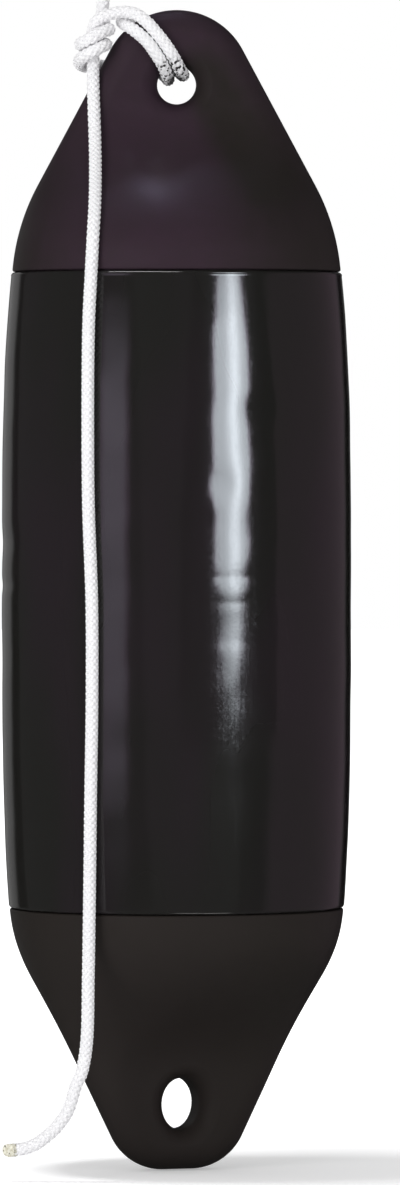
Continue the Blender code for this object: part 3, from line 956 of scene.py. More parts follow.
@dataclass
class MouldedEnd:
    """A hollow moulded end: dome, tab and flared eye."""

    shape: EndShape
    sides: int = 192
    edge_steps: int = 7
    flank_rows: int = 64
    head_rows: int = 32
    wall: float = 0.0045
    cavity_height: float = 0.0640
    cavity_rows: int = 14
    body_wall: float = 0.0032
    spigot_length: float = 0.0140
    spigot_wall: float = 0.0040
    gap: float = 0.0003
    ring_step: float = 0.0005
    flare: float = 0.0115
    flare_angle: float = 74.0
    flare_steps: int = 18
    cutter_lip: float = 0.0003
    cutter_reach: float = 0.0040
    eye_sides: int = 144
    sharp: float = 30.0

    def row_heights(self) -> list[float]:
        """Heights of the rows above the ring, closer together towards the top.

        Returns:
            The heights.
        """
        heights = []
        head = self.shape.head_height
        low = self.shape.edge
        for i in range(self.flank_rows):
            heights.append(low + (head - low) * i / self.flank_rows)
        for i in range(self.head_rows):
            turn = math.pi / 2 * i / self.head_rows
            heights.append(head + self.shape.head_radius * math.sin(turn))
        return heights

    def section(self, height: float, inset: float = 0.0) -> list[Point]:
        """Outline of the end at one height, drawn in by an inset.

        Args:
            height: the height above the ring.
            inset: how far it is drawn in.

        Returns:
            The outline's points.
        """
        width = self.shape.half_width(height) - inset
        points = []
        for i, turn in enumerate(around(self.sides)):
            x = width * math.cos(turn)
            side = math.copysign(1.0, math.sin(turn)) if i % (self.sides // 2) else 0.0
            depth = self.shape.half_depth(x * (width + inset) / width, height) - inset
            points.append((x, side * max(depth, 0.0), height))
        return points

    def cavity_section(self, height: float) -> list[Point]:
        """Outline of the hollow inside, which closes like a dome.

        Args:
            height: the height above the ring.

        Returns:
            The outline's points.
        """
        closing = math.sqrt(1 - (height / self.cavity_height) ** 4)
        width = (self.shape.half_width(height) - self.wall) * closing
        depth = (self.shape.half_depth(0.0, height) - self.wall) * closing
        return self.level_oval(width, depth, height)

    def level_oval(self, width: float, depth: float, height: float) -> list[Point]:
        """Points of a level oval, from half its width and depth."""
        return [(width * math.cos(turn), depth * math.sin(turn), height) for turn in around(self.sides)]

    def edge_rings(self) -> list[list[Point]]:
        """The rounded lower edge, from the ring's face to the first row.

        Returns:
            The edge's rings of points.
        """
        edge = self.shape.edge
        rings = []
        for i in range(self.edge_steps):
            turn = math.pi / 2 * i / self.edge_steps
            inset = edge * (1 - math.sin(turn))
            height = edge * (1 - math.cos(turn))
            rings.append(self.section(height, inset))
        return rings

    def eye_cutter(self) -> bpy.types.Object:
        """A spool that cuts the eye, with mouths that flare until they meet the end's surface.

        Returns:
            The cutter.
        """
        shape = self.shape
        height = shape.height - shape.eye_depth
        limit = math.radians(self.flare_angle)
        straight = shape.tab / 2 - self.flare * math.sin(limit)
        spread = self.flare * (1 - math.cos(limit))
        lip, reach = self.cutter_lip, self.cutter_reach
        profile = []
        for i in range(self.flare_steps + 1):
            angle = limit * i / self.flare_steps
            profile.append((self.flare * (1 - math.cos(angle)), math.sin(angle) / math.sin(limit), 0.0))
        wide = spread + lip * math.tan(limit)
        profile += [(wide, 1.0, lip), (wide, 1.0, reach)]
        turns = around(self.eye_sides)
        half_x, half_z = shape.eye_width / 2, shape.eye_height / 2
        mouths = [
            shape.half_depth((half_x + spread) * math.cos(turn), height + (half_z + spread) * math.sin(turn))
            for turn in turns
        ]
        front: list[list[Point]] = []
        back: list[list[Point]] = []
        for growth, share, beyond in profile:
            ring = []
            for turn, mouth in zip(turns, mouths):
                depth = straight + (mouth - straight) * share + beyond
                across = (half_x + growth) * math.cos(turn)
                ring.append((across, depth, height + (half_z + growth) * math.sin(turn)))
            back.append(ring)
            front.append([(x, -y, z) for x, y, z in ring])
        pole = shape.tab / 2 + reach
        rings = [[(0.0, -pole, height)]] + front[::-1] + back + [[(0.0, pole, height)]]
        return link_object("eye_cutter", skin_rings("eye_cutter", rings))

    def build(self, finish: bpy.types.Material, seat: bpy.types.Object | None = None) -> bpy.types.Object:
        """Build the end in its place.

        Args:
            finish: its material.
            seat: a cutter for the valve's seat, in the fender's frame.

        Returns:
            The piece.
        """
        spigot = self.shape.ring_radius + self.ring_step - self.body_wall - self.gap
        cavity: list[list[Point]] = [[(0.0, 0.0, self.cavity_height)]]
        for i in range(1, self.cavity_rows + 1):
            turn = math.pi / 2 * i / self.cavity_rows
            cavity.append(self.cavity_section(self.cavity_height * math.cos(turn)))
        inner = spigot - self.spigot_wall
        rings = cavity + [
            self.level_oval(inner, inner, -self.spigot_length),
            self.level_oval(spigot, spigot, -self.spigot_length),
            self.level_oval(spigot, spigot, 0.0),
        ]
        rings += self.edge_rings()
        rings += [self.section(height) for height in self.row_heights()]
        rings.append(self.level_oval(self.shape.head_flat, 0.0, self.shape.height))
        mesh = skin_rings(self.shape.name, rings, merge=MERGE_DISTANCE)
        obj = link_object(self.shape.name + "_moulding", mesh)
        cut_with(obj, self.eye_cutter())
        set_place(obj, self.shape.place)
        if seat is not None:
            cut_with(obj, seat)
        dress(obj, finish, self.sharp)
        return obj


@dataclass
class Ripple:
    """A shallow dent of the skin; with a softness it is a crease, whose bottom is that much of its height."""

    z: float
    azimuth: float
    depth: float
    height: float
    spread: float
    softness: float = 0.0

    def profile(self, z: float) -> float:
        """Share of the depth at a height.

        Args:
            z: the height.

        Returns:
            The share.
        """
        away = (z - self.z) / self.height
        if self.softness:
            return math.exp(self.softness - math.hypot(away, self.softness))
        return math.exp(-(away**2))


@dataclass
class BlownBody:
    """The inflated barrel, with the small creases and waves of a real skin."""

    length: float = 0.3280
    radius: float = 0.0900
    top_radius: float = 0.0852
    bottom_radius: float = 0.0866
    top_z: float = -0.0962
    wall: float = 0.0032
    power: float = 3.4
    edge: float = 0.0020
    edge_steps: int = 8
    gap: float = 0.0003
    sides: int = 256
    rows: int = 330
    inner_rows: int = 16
    crowded: float = 0.32
    crowding: float = 0.55
    even_ends: int = 8
    sharp: float = 40.0
    ripples: tuple[Ripple, ...] = (
        Ripple(-0.2523, 0.325, 0.000080, 0.0042, 0.60, 0.25),
        Ripple(-0.2652, 0.325, 0.000080, 0.0046, 0.60, 0.28),
        Ripple(-0.2850, 0.325, 0.000070, 0.0060, 0.60, 0.50),
        Ripple(-0.2050, 0.265, 0.000300, 0.0085, 0.100),
        Ripple(-0.1660, 0.505, 0.000280, 0.0075, 0.100),
        Ripple(-0.2240, 0.130, 0.000120, 0.0060, 0.090),
        Ripple(-0.2360, -1.40, 0.00060, 0.0070, 0.30),
        Ripple(-0.2580, -1.42, 0.00050, 0.0035, 0.28),
    )
    waves: tuple[tuple[float, float, float, float], ...] = (
        (0.000060, 3.0, 96.0, 0.4),
        (0.000045, 5.0, -142.0, 1.9),
        (0.000014, 8.0, 231.0, 3.1),
        (0.000009, 11.0, -305.0, 5.2),
    )

    def barrel(self, share: float) -> float:
        """Outer radius at a share of the length, from the top ring down.

        Args:
            share: the share.

        Returns:
            The radius.
        """
        ring = self.top_radius if share < 0.5 else self.bottom_radius
        swell = abs(2 * share - 1) ** self.power
        return self.radius - (self.radius - ring) * swell

    def unevenness(self, azimuth: np.ndarray, z: float, share: float) -> np.ndarray:
        """Small change of radius at one height, by azimuth from the front.

        Args:
            azimuth: the azimuths of the ring's points.
            z: the ring's height.
            share: the ring's share of the length, from the top down.

        Returns:
            The change at each azimuth.
        """
        total = np.zeros_like(azimuth)
        for size, turns, pitch, phase in self.waves:
            total += size * np.sin(turns * azimuth + pitch * z + phase)
        for ripple in self.ripples:
            away = np.angle(np.exp(1j * (azimuth - ripple.azimuth)))
            bell = np.exp(-((away / ripple.spread) ** 2)) * ripple.profile(z)
            total -= ripple.depth * bell
        return total * (1 - abs(2 * share - 1) ** self.even_ends)

    def build(self, finish: bpy.types.Material) -> bpy.types.Object:
        """Build the barrel in its place.

        Args:
            finish: its material.

        Returns:
            The piece.
        """
        top = self.top_z - self.gap
        bottom = self.top_z - self.length + self.gap
        even = 2 * np.pi * np.arange(self.sides) / self.sides
        azimuth = even - self.crowding * np.sin(even - self.crowded)
        turns = azimuth - np.pi / 2
        rings = []

        def ring(radius: float | np.ndarray, z: float) -> None:
            """Add one ring of points."""
            reach = radius * np.ones_like(turns)
            rings.append(list(zip(reach * np.cos(turns), reach * np.sin(turns), np.full_like(turns, z))))

        for i in range(self.edge_steps):
            turn = math.pi / 2 * i / self.edge_steps
            inset = self.edge * (1 - math.sin(turn))
            ring(self.barrel(self.edge / self.length) - inset, top - self.edge * (1 - math.cos(turn)))
        low, high = top - self.edge, bottom + self.edge
        for i in range(self.rows + 1):
            share = i / self.rows
            z = low + (high - low) * share
            ring(self.barrel(share) + self.unevenness(azimuth, z, share), z)
        for i in range(1, self.edge_steps + 1):
            turn = math.pi / 2 * i / self.edge_steps
            inset = self.edge * (1 - math.cos(turn))
            ring(self.barrel(1.0) - inset, high - self.edge * math.sin(turn))
        for i in range(self.inner_rows + 1):
            share = 1 - i / self.inner_rows
            ring(self.barrel(share) - self.wall, top + (bottom - top) * share)
        obj = link_object("body_skin", skin_rings("body_skin", rings, closed=True))
        dress(obj, finish, self.sharp)
        return obj


@dataclass
class Valve:
    """Inflation valve on the hidden shoulder: insert, seal and slotted plug."""

    shape: EndShape
    height: float = 0.0420
    flange_radius: float = 0.0110
    flange: float = 0.0022
    sunk: float = 0.75
    flange_rim: float = 0.0006
    rim_steps: int = 6
    lip_steps: int = 4
    pocket_top: float = 0.0120
    hole_depth: float = 0.0300
    barrel_radius: float = 0.0072
    length: float = 0.0130
    bore: float = 0.0045
    airway: float = 0.0018
    airway_floor: float = 0.0020
    head_radius: float = 0.0078
    head: float = 0.0030
    shank: float = 0.0080
    head_round: float = 0.0008
    head_steps: int = 8
    head_chamfer: float = 0.0002
    thread_pitch: float = 0.0013
    thread_depth: float = 0.0004
    thread_crest: Span = (0.35, 0.60)
    thread_foot: float = 0.95
    slot_width: float = 0.0018
    slot_depth: float = 0.0016
    seal_cord: float = 0.0014
    seal_seat: float = 0.0010
    gap: float = 0.0003
    sides: int = 96
    sharp: float = 35.0
    slope_step: float = 0.0005
    place: Matrix = field(init=False)

    def __post_init__(self) -> None:
        """Work out the place, with the Z axis straight out of the shoulder."""
        step = self.slope_step
        low = self.shape.half_depth(0.0, self.height - step)
        high = self.shape.half_depth(0.0, self.height + step)
        axis = Vector((0.0, 2 * step, low - high)).normalized()
        side = Vector((1.0, 0.0, 0.0))
        turned = Matrix((side, axis.cross(side), axis)).transposed().to_4x4()
        depth = self.shape.half_depth(0.0, self.height)
        self.place = Matrix.Translation((0.0, depth, self.shape.ring_z + self.height)) @ turned

    @property
    def sink(self) -> float:
        """How far the flat seat lies under the rounded shoulder."""
        return self.flange * self.sunk

    def seat_cutter(self) -> bpy.types.Object:
        """The pocket for the flange and the hole for the barrel.

        Returns:
            The cutter, in the fender's frame.
        """
        floor = -self.sink - self.gap
        pocket, hole = self.flange_radius + self.gap, self.barrel_radius + self.gap
        profile = [(0.0, self.pocket_top), (pocket, self.pocket_top), (pocket, floor), (hole, floor)]
        profile += [(hole, -self.hole_depth), (0.0, -self.hole_depth)]
        cutter = link_object("seat_cutter", lathe("seat_cutter", profile, self.sides))
        cutter.data.transform(self.place)
        return cutter

    def build_insert(self, finish: bpy.types.Material) -> bpy.types.Object:
        """Build the insert with rounded flange edges.

        Args:
            finish: its material.

        Returns:
            The piece.
        """
        top = self.flange - self.sink
        bottom = -self.sink - self.length
        recess = top - self.seal_seat
        rim = self.flange_rim
        recess_radius = self.head_radius - rim
        profile = [(self.airway, bottom), (self.barrel_radius, bottom), (self.barrel_radius, -self.sink)]
        profile += [(self.flange_radius, -self.sink)]
        profile += arc((self.flange_radius - rim, top - rim), rim, 0, 90, self.rim_steps)
        profile += arc((recess_radius + rim / 2, top - rim / 2), rim / 2, 90, 180, self.lip_steps)
        profile += [(recess_radius, recess), (self.bore, recess)]
        profile += [(self.bore, bottom + self.airway_floor), (self.airway, bottom + self.airway_floor)]
        obj = link_object("valve_bush", lathe("valve_bush", profile, self.sides))
        set_place(obj, self.place)
        dress(obj, finish, self.sharp)
        return obj

    def build_plug(self, finish: bpy.types.Material) -> bpy.types.Object:
        """Build the plug, with a slotted and rounded head and a threaded shank.

        Args:
            finish: its material.

        Returns:
            The piece.
        """
        recess = self.flange - self.sink - self.seal_seat
        low = recess + 2 * self.gap + self.seal_cord
        top = low + self.head
        shank = self.bore - self.gap
        pitch, root = self.thread_pitch, shank - self.thread_depth
        foot = low - self.shank
        profile: list[tuple[float, float]] = [(0.0, foot), (shank - self.head_round, foot)]
        z = foot + self.head_round
        while z + pitch < low - self.thread_depth:
            crest = [(shank, z + pitch * share) for share in self.thread_crest]
            profile += [(root, z), *crest, (root, z + pitch * self.thread_foot)]
            z += pitch
        radius, chamfer = self.head_radius, self.head_chamfer
        profile += [(root, low), (radius - chamfer, low), (radius, low + chamfer)]
        rounding = self.head_round
        profile += arc((radius - rounding, top - rounding), rounding, 0, 90, self.head_steps)
        profile.append((0.0, top))
        obj = link_object("valve_screw", lathe("valve_screw", profile, self.sides))
        slot = bmesh.new()
        bmesh.ops.create_cube(slot, size=1.0)
        bmesh.ops.scale(slot, vec=(4 * self.head_radius, self.slot_width, 2 * self.slot_depth), verts=slot.verts)
        bmesh.ops.translate(slot, vec=(0.0, 0.0, top), verts=slot.verts)
        mesh = bpy.data.meshes.new("slot_cutter")
        slot.to_mesh(mesh)
        slot.free()
        cut_with(obj, link_object("slot_cutter", mesh))
        set_place(obj, self.place)
        dress(obj, finish, self.sharp)
        return obj


class NodeTree:
    """A Geometry Nodes tree, built through one method."""

    def __init__(self, name: str) -> None:
        """Start a tree with a geometry input and output.

        Args:
            name: the tree's name.
        """
        self.group = bpy.data.node_groups.new(name, "GeometryNodeTree")
        self.group.interface.new_socket("Geometry", in_out="INPUT", socket_type="NodeSocketGeometry")
        self.group.interface.new_socket("Geometry", in_out="OUTPUT", socket_type="NodeSocketGeometry")
        self.source = self.group.nodes.new("NodeGroupInput")
        self.sink = self.group.nodes.new("NodeGroupOutput")
        self.identifiers: dict[str, str] = {}

    def size(self, name: str, value: float) -> bpy.types.NodeSocket:
        """Add a named number input and return its socket inside the tree.

        Args:
            name: the input's name.
            value: its value.

        Returns:
            The socket.
        """
        socket = self.group.interface.new_socket(name, in_out="INPUT", socket_type="NodeSocketFloat")
        socket.default_value = value
        self.identifiers[name] = socket.identifier
        return self.source.outputs[name]

    def add(
        self, kind: str, settings: dict[str, Any], inputs: dict[Any, Any], output: Any = 0
    ) -> bpy.types.NodeSocket:
        """Add any node.

        Args:
            kind: the node's type.
            settings: its properties, set first.
            inputs: values or links of its sockets, by name or index.
            output: the output socket to return.

        Returns:
            The output socket.
        """
        node = self.group.nodes.new(kind)
        for key, value in settings.items():
            setattr(node, key, value)
        for key, value in inputs.items():
            if isinstance(value, bpy.types.NodeSocket):
                self.group.links.new(value, node.inputs[key])
            else:
                node.inputs[key].default_value = value
        return node.outputs[output]

    def math(self, operation: str, *values: Any) -> bpy.types.NodeSocket:
        """Add a Math node."""
        return self.add("ShaderNodeMath", {"operation": operation}, dict(enumerate(values)))

    def finish(self, geometry: bpy.types.NodeSocket, material: bpy.types.Material) -> None:
        """End the tree in Realize Instances and Set Material.

        Args:
            geometry: what the tree made.
            material: its finish.
        """
        real = self.add("GeometryNodeRealizeInstances", {}, {0: geometry})
        dressed = self.add("GeometryNodeSetMaterial", {}, {"Geometry": real, "Material": material})
        self.group.links.new(dressed, self.sink.inputs[0])


@dataclass
class BraidedLine:
    """A round line with a braided cover, laid along a route."""

    name: str
    route: tuple[Point, ...]
    diameter: float = 0.0064
    relief: float = 0.00095
    carriers: int = 6
    pitch: float = 0.0201
    step: float = 0.00041
    sides: int = 60
    crown_power: float = 0.6
    mean_height: float = 0.75
    guide_spacing: float = 0.0010

    @property
    def sizes(self) -> dict[str, float]:
        """Sizes that the braid's tree takes.

        Returns:
            The sizes, by the names of the tree's inputs.
        """
        return {
            "Radius": self.diameter / 2,
            "Relief": self.relief,
            "Pitch": self.pitch,
            "Step": self.step,
            "Carriers": float(self.carriers),
        }

    def path(self, spacing: float) -> list[Vector]:
        """Points of the line's centre."""
        return smooth_route(self.route, spacing)

    def braid_tree(self, material: bpy.types.Material) -> NodeTree:
        """Build the tree that sweeps a round profile and raises the strands on it.

        Args:
            material: the cover's finish.

        Returns:
            The tree.
        """
        tree = NodeTree(self.name + "_braid")
        radius, relief, pitch, step, carriers = (tree.size(name, size) for name, size in self.sizes.items())
        line = tree.add(
            "GeometryNodeResampleCurve", {"mode": "LENGTH"}, {"Curve": tree.source.outputs[0], "Length": step}
        )
        along = tree.add("GeometryNodeSplineParameter", {}, {}, "Length")
        line, length = self.capture(tree, line, along)
        ring = tree.add("GeometryNodeCurvePrimitiveCircle", {}, {"Resolution": self.sides, "Radius": radius})
        factor = tree.add("GeometryNodeSplineParameter", {}, {}, "Factor")
        ring, turn = self.capture(tree, ring, factor)
        tube = tree.add(
            "GeometryNodeCurveToMesh", {}, {"Curve": line, "Profile Curve": ring, "Fill Caps": True}
        )
        rise = tree.math("DIVIDE", length, pitch)
        right = tree.math("MULTIPLY", tree.math("ADD", turn, rise), carriers)
        left = tree.math("MULTIPLY", tree.math("SUBTRACT", turn, rise), carriers)
        right_crown = self.crown(tree, right)
        left_crown = self.crown(tree, left)
        over = tree.math("MULTIPLY", self.wave(tree, right), self.wave(tree, left))
        right_high = tree.math("MULTIPLY", right_crown, tree.math("MULTIPLY_ADD", over, 0.5, 0.5))
        left_high = tree.math("MULTIPLY", left_crown, tree.math("MULTIPLY_ADD", over, -0.5, 0.5))
        height = tree.math("MAXIMUM", right_high, left_high)
        lift = tree.math("MULTIPLY", tree.math("SUBTRACT", height, self.mean_height), relief)
        normal = tree.add("GeometryNodeInputNormal", {}, {})
        offset = tree.add("ShaderNodeVectorMath", {"operation": "SCALE"}, {0: normal, "Scale": lift})
        raised = tree.add("GeometryNodeSetPosition", {}, {"Geometry": tube, "Offset": offset})
        groove = tree.math("SUBTRACT", 1.0, height)
        stored = self.store(tree, raised, "groove", groove)
        stored = self.store(tree, stored, "lay", right)
        smooth = tree.add("GeometryNodeSetShadeSmooth", {}, {"Geometry": stored, "Shade Smooth": True})
        tree.finish(smooth, material)
        return tree

    def crown(self, tree: NodeTree, value: bpy.types.NodeSocket) -> bpy.types.NodeSocket:
        """Rounded height across one strand: 1 at its middle and 0 at its edges."""
        return tree.math("POWER", tree.math("ABSOLUTE", self.wave(tree, value)), self.crown_power)

    def wave(self, tree: NodeTree, value: bpy.types.NodeSocket) -> bpy.types.NodeSocket:
        """Sine wave with a half turn for each strand."""
        return tree.math("SINE", tree.math("MULTIPLY", value, math.pi))

    def capture(
        self, tree: NodeTree, geometry: bpy.types.NodeSocket, value: bpy.types.NodeSocket
    ) -> tuple[bpy.types.NodeSocket, bpy.types.NodeSocket]:
        """Keep a number on each point of a curve, and return the curve and that number.

        Args:
            tree: the tree.
            geometry: the curve.
            value: the number.

        Returns:
            The curve and the kept number.
        """
        node = tree.group.nodes.new("GeometryNodeCaptureAttribute")
        node.capture_items.new("FLOAT", "Value")
        tree.group.links.new(geometry, node.inputs[0])
        tree.group.links.new(value, node.inputs[1])
        return node.outputs[0], node.outputs[1]

    def store(
        self, tree: NodeTree, geometry: bpy.types.NodeSocket, name: str, value: bpy.types.NodeSocket
    ) -> bpy.types.NodeSocket:
        """Store a number on each point of the mesh for the finish to read.

        Args:
            tree: the tree.
            geometry: the mesh.
            name: the number's name.
            value: the number.

        Returns:
            The mesh with the number.
        """
        settings = {"data_type": "FLOAT", "domain": "POINT"}
        return tree.add(
            "GeometryNodeStoreNamedAttribute", settings, {"Geometry": geometry, "Name": name, "Value": value}
        )

    def build(self, material: bpy.types.Material) -> bpy.types.Object:
        """Build the line's cover as one mesh.

        Args:
            material: the cover's finish.

        Returns:
            The piece.
        """
        curve = bpy.data.curves.new(self.name + "_route", "CURVE")
        curve.dimensions = "3D"
        points = self.path(self.guide_spacing)
        spline = curve.splines.new("POLY")
        spline.points.add(len(points) - 1)
        for point, place in zip(spline.points, points):
            point.co = (*place, 1.0)
        guide = link_object(self.name + "_guide", curve)
        tree = self.braid_tree(material)
        modifier = guide.modifiers.new("braid", "NODES")
        modifier.node_group = tree.group
        for name, size in self.sizes.items():
            modifier[tree.identifiers[name]] = size
        bpy.context.view_layer.update()
        evaluated = guide.evaluated_get(bpy.context.evaluated_depsgraph_get())
        mesh = bpy.data.meshes.new_from_object(evaluated)
        bpy.data.objects.remove(guide, do_unlink=True)
        bpy.data.curves.remove(curve)
        obj = link_object(self.name, mesh)
        obj.data.name = self.name
        return obj


@dataclass
class RopeTip:
    """The rope's end, cut aslant with a hot knife and melted over."""

    end: Vector
    along: Vector
    radius: float = 0.0033
    slant: float = 42.0
    rim: float = 0.0006
    rim_steps: int = 6
    face_rings: int = 9
    dip: float = 0.00025
    dip_waves: float = 1.5
    swells: tuple[Point, ...] = ((0.03, 3, 0.8), (0.02, 7, 0.0))
    seat: float = 0.0010
    start: tuple[float, float] = (0.0002, 0.6)
    sides: int = 64

    def build(self, finish: bpy.types.Material) -> bpy.types.Object:
        """Build the tip in its place.

        Args:
            finish: its material.

        Returns:
            The piece.
        """
        axis = self.along.normalized()
        front = Vector((0.0, -1.0, 0.0))
        up = axis.cross(front).normalized()
        lean = math.tan(math.radians(self.slant))

        def ring(radius: float, out: float, share: float) -> list[Vector]:
            """One ring, from square to the rope at share 0 to the slanting cut at share 1.

            Args:
                radius: the ring's radius.
                out: how far out it lies.
                share: its share of the slant.

            Returns:
                The ring's points.
            """
            points = []
            for turn in around(self.sides):
                near, rise = radius * math.cos(turn), radius * math.sin(turn)
                uneven = sum((size * math.sin(count * turn + phase) for size, count, phase in self.swells), 1.0)
                reach = out + share * (self.radius - near) * lean
                points.append(self.end + front * near * uneven + up * rise * uneven + axis * reach)
            return points

        rings = [[self.end - axis * self.seat], ring(self.radius, -self.seat, 0.0), ring(self.radius, *self.start)]
        for i in range(self.rim_steps + 1):
            turn = math.pi / 2 * i / self.rim_steps
            rings.append(ring(self.radius - self.rim * (1 - math.cos(turn)), self.rim * math.sin(turn), 1.0))
        for i in range(1, self.face_rings):
            share = 1 - i / self.face_rings
            dip = -self.dip * math.sin(math.pi * share * self.dip_waves)
            rings.append(ring((self.radius - self.rim) * share, self.rim + dip, 1.0))
        rings.append([self.end + axis * (self.rim + self.radius * lean)])
        obj = link_object("line_tip", skin_rings("line_tip", rings))
        obj.data.materials.append(finish)
        return obj


class LampShape(Enum):
    """Outline of an area lamp."""

    ELLIPSE = "ELLIPSE"
    RECTANGLE = "RECTANGLE"


class Receiver(Enum):
    """What a lamp or card shines on."""

    ALL = "all"
    BODY = "body"
    ENDS = "ends"
    FLOOR = "floor"
    LINE = "line"


@dataclass(frozen=True)
class Lamp:
    """An area lamp, placed by azimuth from the camera's side and by elevation, in degrees."""

    name: str
    shape: LampShape
    azimuth: float
    elevation: float
    distance: float
    height: float
    size: tuple[float, float]
    radiance: float
    shows_in: Receiver = Receiver.ALL


LAMPS: tuple[Lamp, ...] = (
    Lamp(
        "key_light", LampShape.ELLIPSE, azimuth=34.0, elevation=6.0, distance=2.0, height=-0.25,
        size=(1.0, 1.0), radiance=2.2,
    ),
    Lamp(
        "left_light", LampShape.RECTANGLE, azimuth=-36.0, elevation=12.0, distance=2.2, height=-0.25,
        size=(1.1, 1.1), radiance=4.4,
    ),
    Lamp(
        "line_light", LampShape.RECTANGLE, azimuth=-15.0, elevation=58.0, distance=1.8, height=0.0,
        size=(0.8, 0.8), radiance=2.4, shows_in=Receiver.LINE,
    ),
    Lamp(
        "overhead", LampShape.RECTANGLE, azimuth=-84.0, elevation=79.8, distance=1.9, height=-0.3,
        size=(0.34, 0.34), radiance=62.0, shows_in=Receiver.FLOOR,
    ),
)


def steady(amount: float) -> tuple[tuple[float, float], ...]:
    """A card's width or glow that is the same all the way up."""
    return (0.0, amount), (1.0, amount)


@dataclass(frozen=True)
class Card:
    """A glowing card that only shows in reflections, with a soft outline that varies in width.

    Widths and glows are (share of the height, amount) pairs from the lower edge up.
    """

    name: str
    azimuth: float
    elevation: float
    distance: float
    height: float
    size: tuple[float, float]
    radiance: float
    widths: tuple[tuple[float, float], ...]
    glows: tuple[tuple[float, float], ...] = steady(1.0)
    top_fade: Span = (0.97, 1.0)
    edge: float = 0.10
    core: float = 0.0
    core_offset: float = 0.0
    core_width: float = 0.10
    colour: Point = (1.0, 1.0, 1.0)
    fringe: Point = (1.0, 1.0, 1.0)
    shows_in: Receiver = Receiver.ALL

    def finish(self) -> bpy.types.Material:
        """Make the card's glow.

        Returns:
            The material.
        """
        tree = Shader(self.name)
        across = tree.along("X") * (2 / self.size[0])
        rise = tree.along("Y") * (1 / self.size[1]) + 0.5
        width = self._profile(tree, rise, self.widths)
        glow = self._profile(tree, rise, self.glows)
        mask = 1 - tree.ramp(across.absolute() - width, (-self.edge, self.edge))
        from_core = (across - self.core_offset) * (1 / self.core_width)
        core = tree.add("ShaderNodeMath", {"operation": "EXPONENT"}, {0: from_core * from_core * -1.0})
        below_top = 1 - tree.ramp(rise, self.top_fade)
        strength = mask * glow * below_top * (core * self.core + 1.0) * self.radiance
        tint = tree.mix(mask, self.fringe, self.colour)
        level = tree.add("ShaderNodeVectorMath", {"operation": "SCALE"}, {0: tint, "Scale": strength})
        tree.set(Base_Color=BLACK, Specular_IOR_Level=0.0, Emission_Color=level, Emission_Strength=1.0)
        return tree.material

    def _profile(self, tree: Shader, rise: Value, pairs: Sequence[tuple[float, float]]) -> Value:
        """Read an amount off a smooth ramp along the height."""
        stops = [(share, (amount, amount, amount)) for share, amount in pairs]
        return tree.add("ShaderNodeValToRGB", {"stops": stops}, {0: rise})


CARDS: tuple[Card, ...] = (
    Card(
        "key_card", azimuth=36.0, elevation=0.0, distance=1.7, height=0.07, size=(1.2, 1.0), radiance=10.6,
        widths=(
            (0.060, 0.0), (0.080, 0.18), (0.10, 0.25), (0.14, 0.42), (0.19, 0.56),
            (0.30, 0.62), (0.52, 0.56), (0.64, 0.42), (0.72, 0.28), (1.0, 0.22),
        ),
        glows=(
            (0.068, 0.0), (0.090, 0.46), (0.11, 0.48), (0.145, 0.92), (0.30, 1.05),
            (0.56, 1.05), (0.66, 0.72), (0.74, 0.36), (1.0, 0.26),
        ),
        edge=0.08, core=1.0, core_offset=0.10, core_width=0.20,
        colour=(0.86, 0.93, 1.0), fringe=(0.95, 0.70, 1.0), shows_in=Receiver.BODY,
    ),
    Card(
        "fill_card", azimuth=-41.5, elevation=0.0, distance=2.4, height=-0.25, size=(1.12, 1.3), radiance=1.42,
        widths=steady(0.70),
        glows=((0.0, 0.0), (0.16, 0.06), (0.28, 0.32), (0.38, 0.70), (0.66, 1.10), (0.80, 0.50), (0.92, 0.0)),
        edge=0.26, colour=(0.90, 0.78, 1.0), fringe=(1.0, 0.58, 1.0), shows_in=Receiver.BODY,
    ),
    Card(
        "rim_card", azimuth=-152.0, elevation=0.0, distance=1.6, height=-0.2, size=(1.0, 1.3), radiance=0.34,
        widths=steady(0.8), glows=((0.0, 0.6), (0.5, 0.9), (1.0, 1.0)), edge=0.2,
    ),
    Card(
        "right_card", azimuth=105.0, elevation=0.0, distance=1.6, height=-0.25, size=(3.4, 2.4), radiance=0.17,
        widths=steady(0.85), edge=0.15, colour=(1.0, 0.74, 0.90),
    ),
    Card(
        "top_card", azimuth=-160.0, elevation=70.0, distance=1.5, height=-0.05, size=(0.14, 0.26), radiance=50.0,
        widths=((0.0, 0.0), (0.25, 0.6), (0.5, 0.8), (0.75, 0.6), (1.0, 0.0)),
        glows=((0.0, 0.0), (0.5, 1.0), (1.0, 0.0)),
        edge=0.2, colour=(0.72, 0.70, 1.0), fringe=(0.72, 0.70, 1.0), shows_in=Receiver.ENDS,
    ),
    Card(
        "seam_card", azimuth=-38.0, elevation=60.0, distance=1.6, height=-0.1, size=(1.5, 0.16), radiance=22.0,
        widths=steady(0.9), shows_in=Receiver.BODY,
    ),
    Card(
        "low_seam_card", azimuth=26.0, elevation=-60.0, distance=1.6, height=-0.40, size=(0.9, 0.14), radiance=9.0,
        widths=steady(0.9), shows_in=Receiver.BODY,
    ),
)


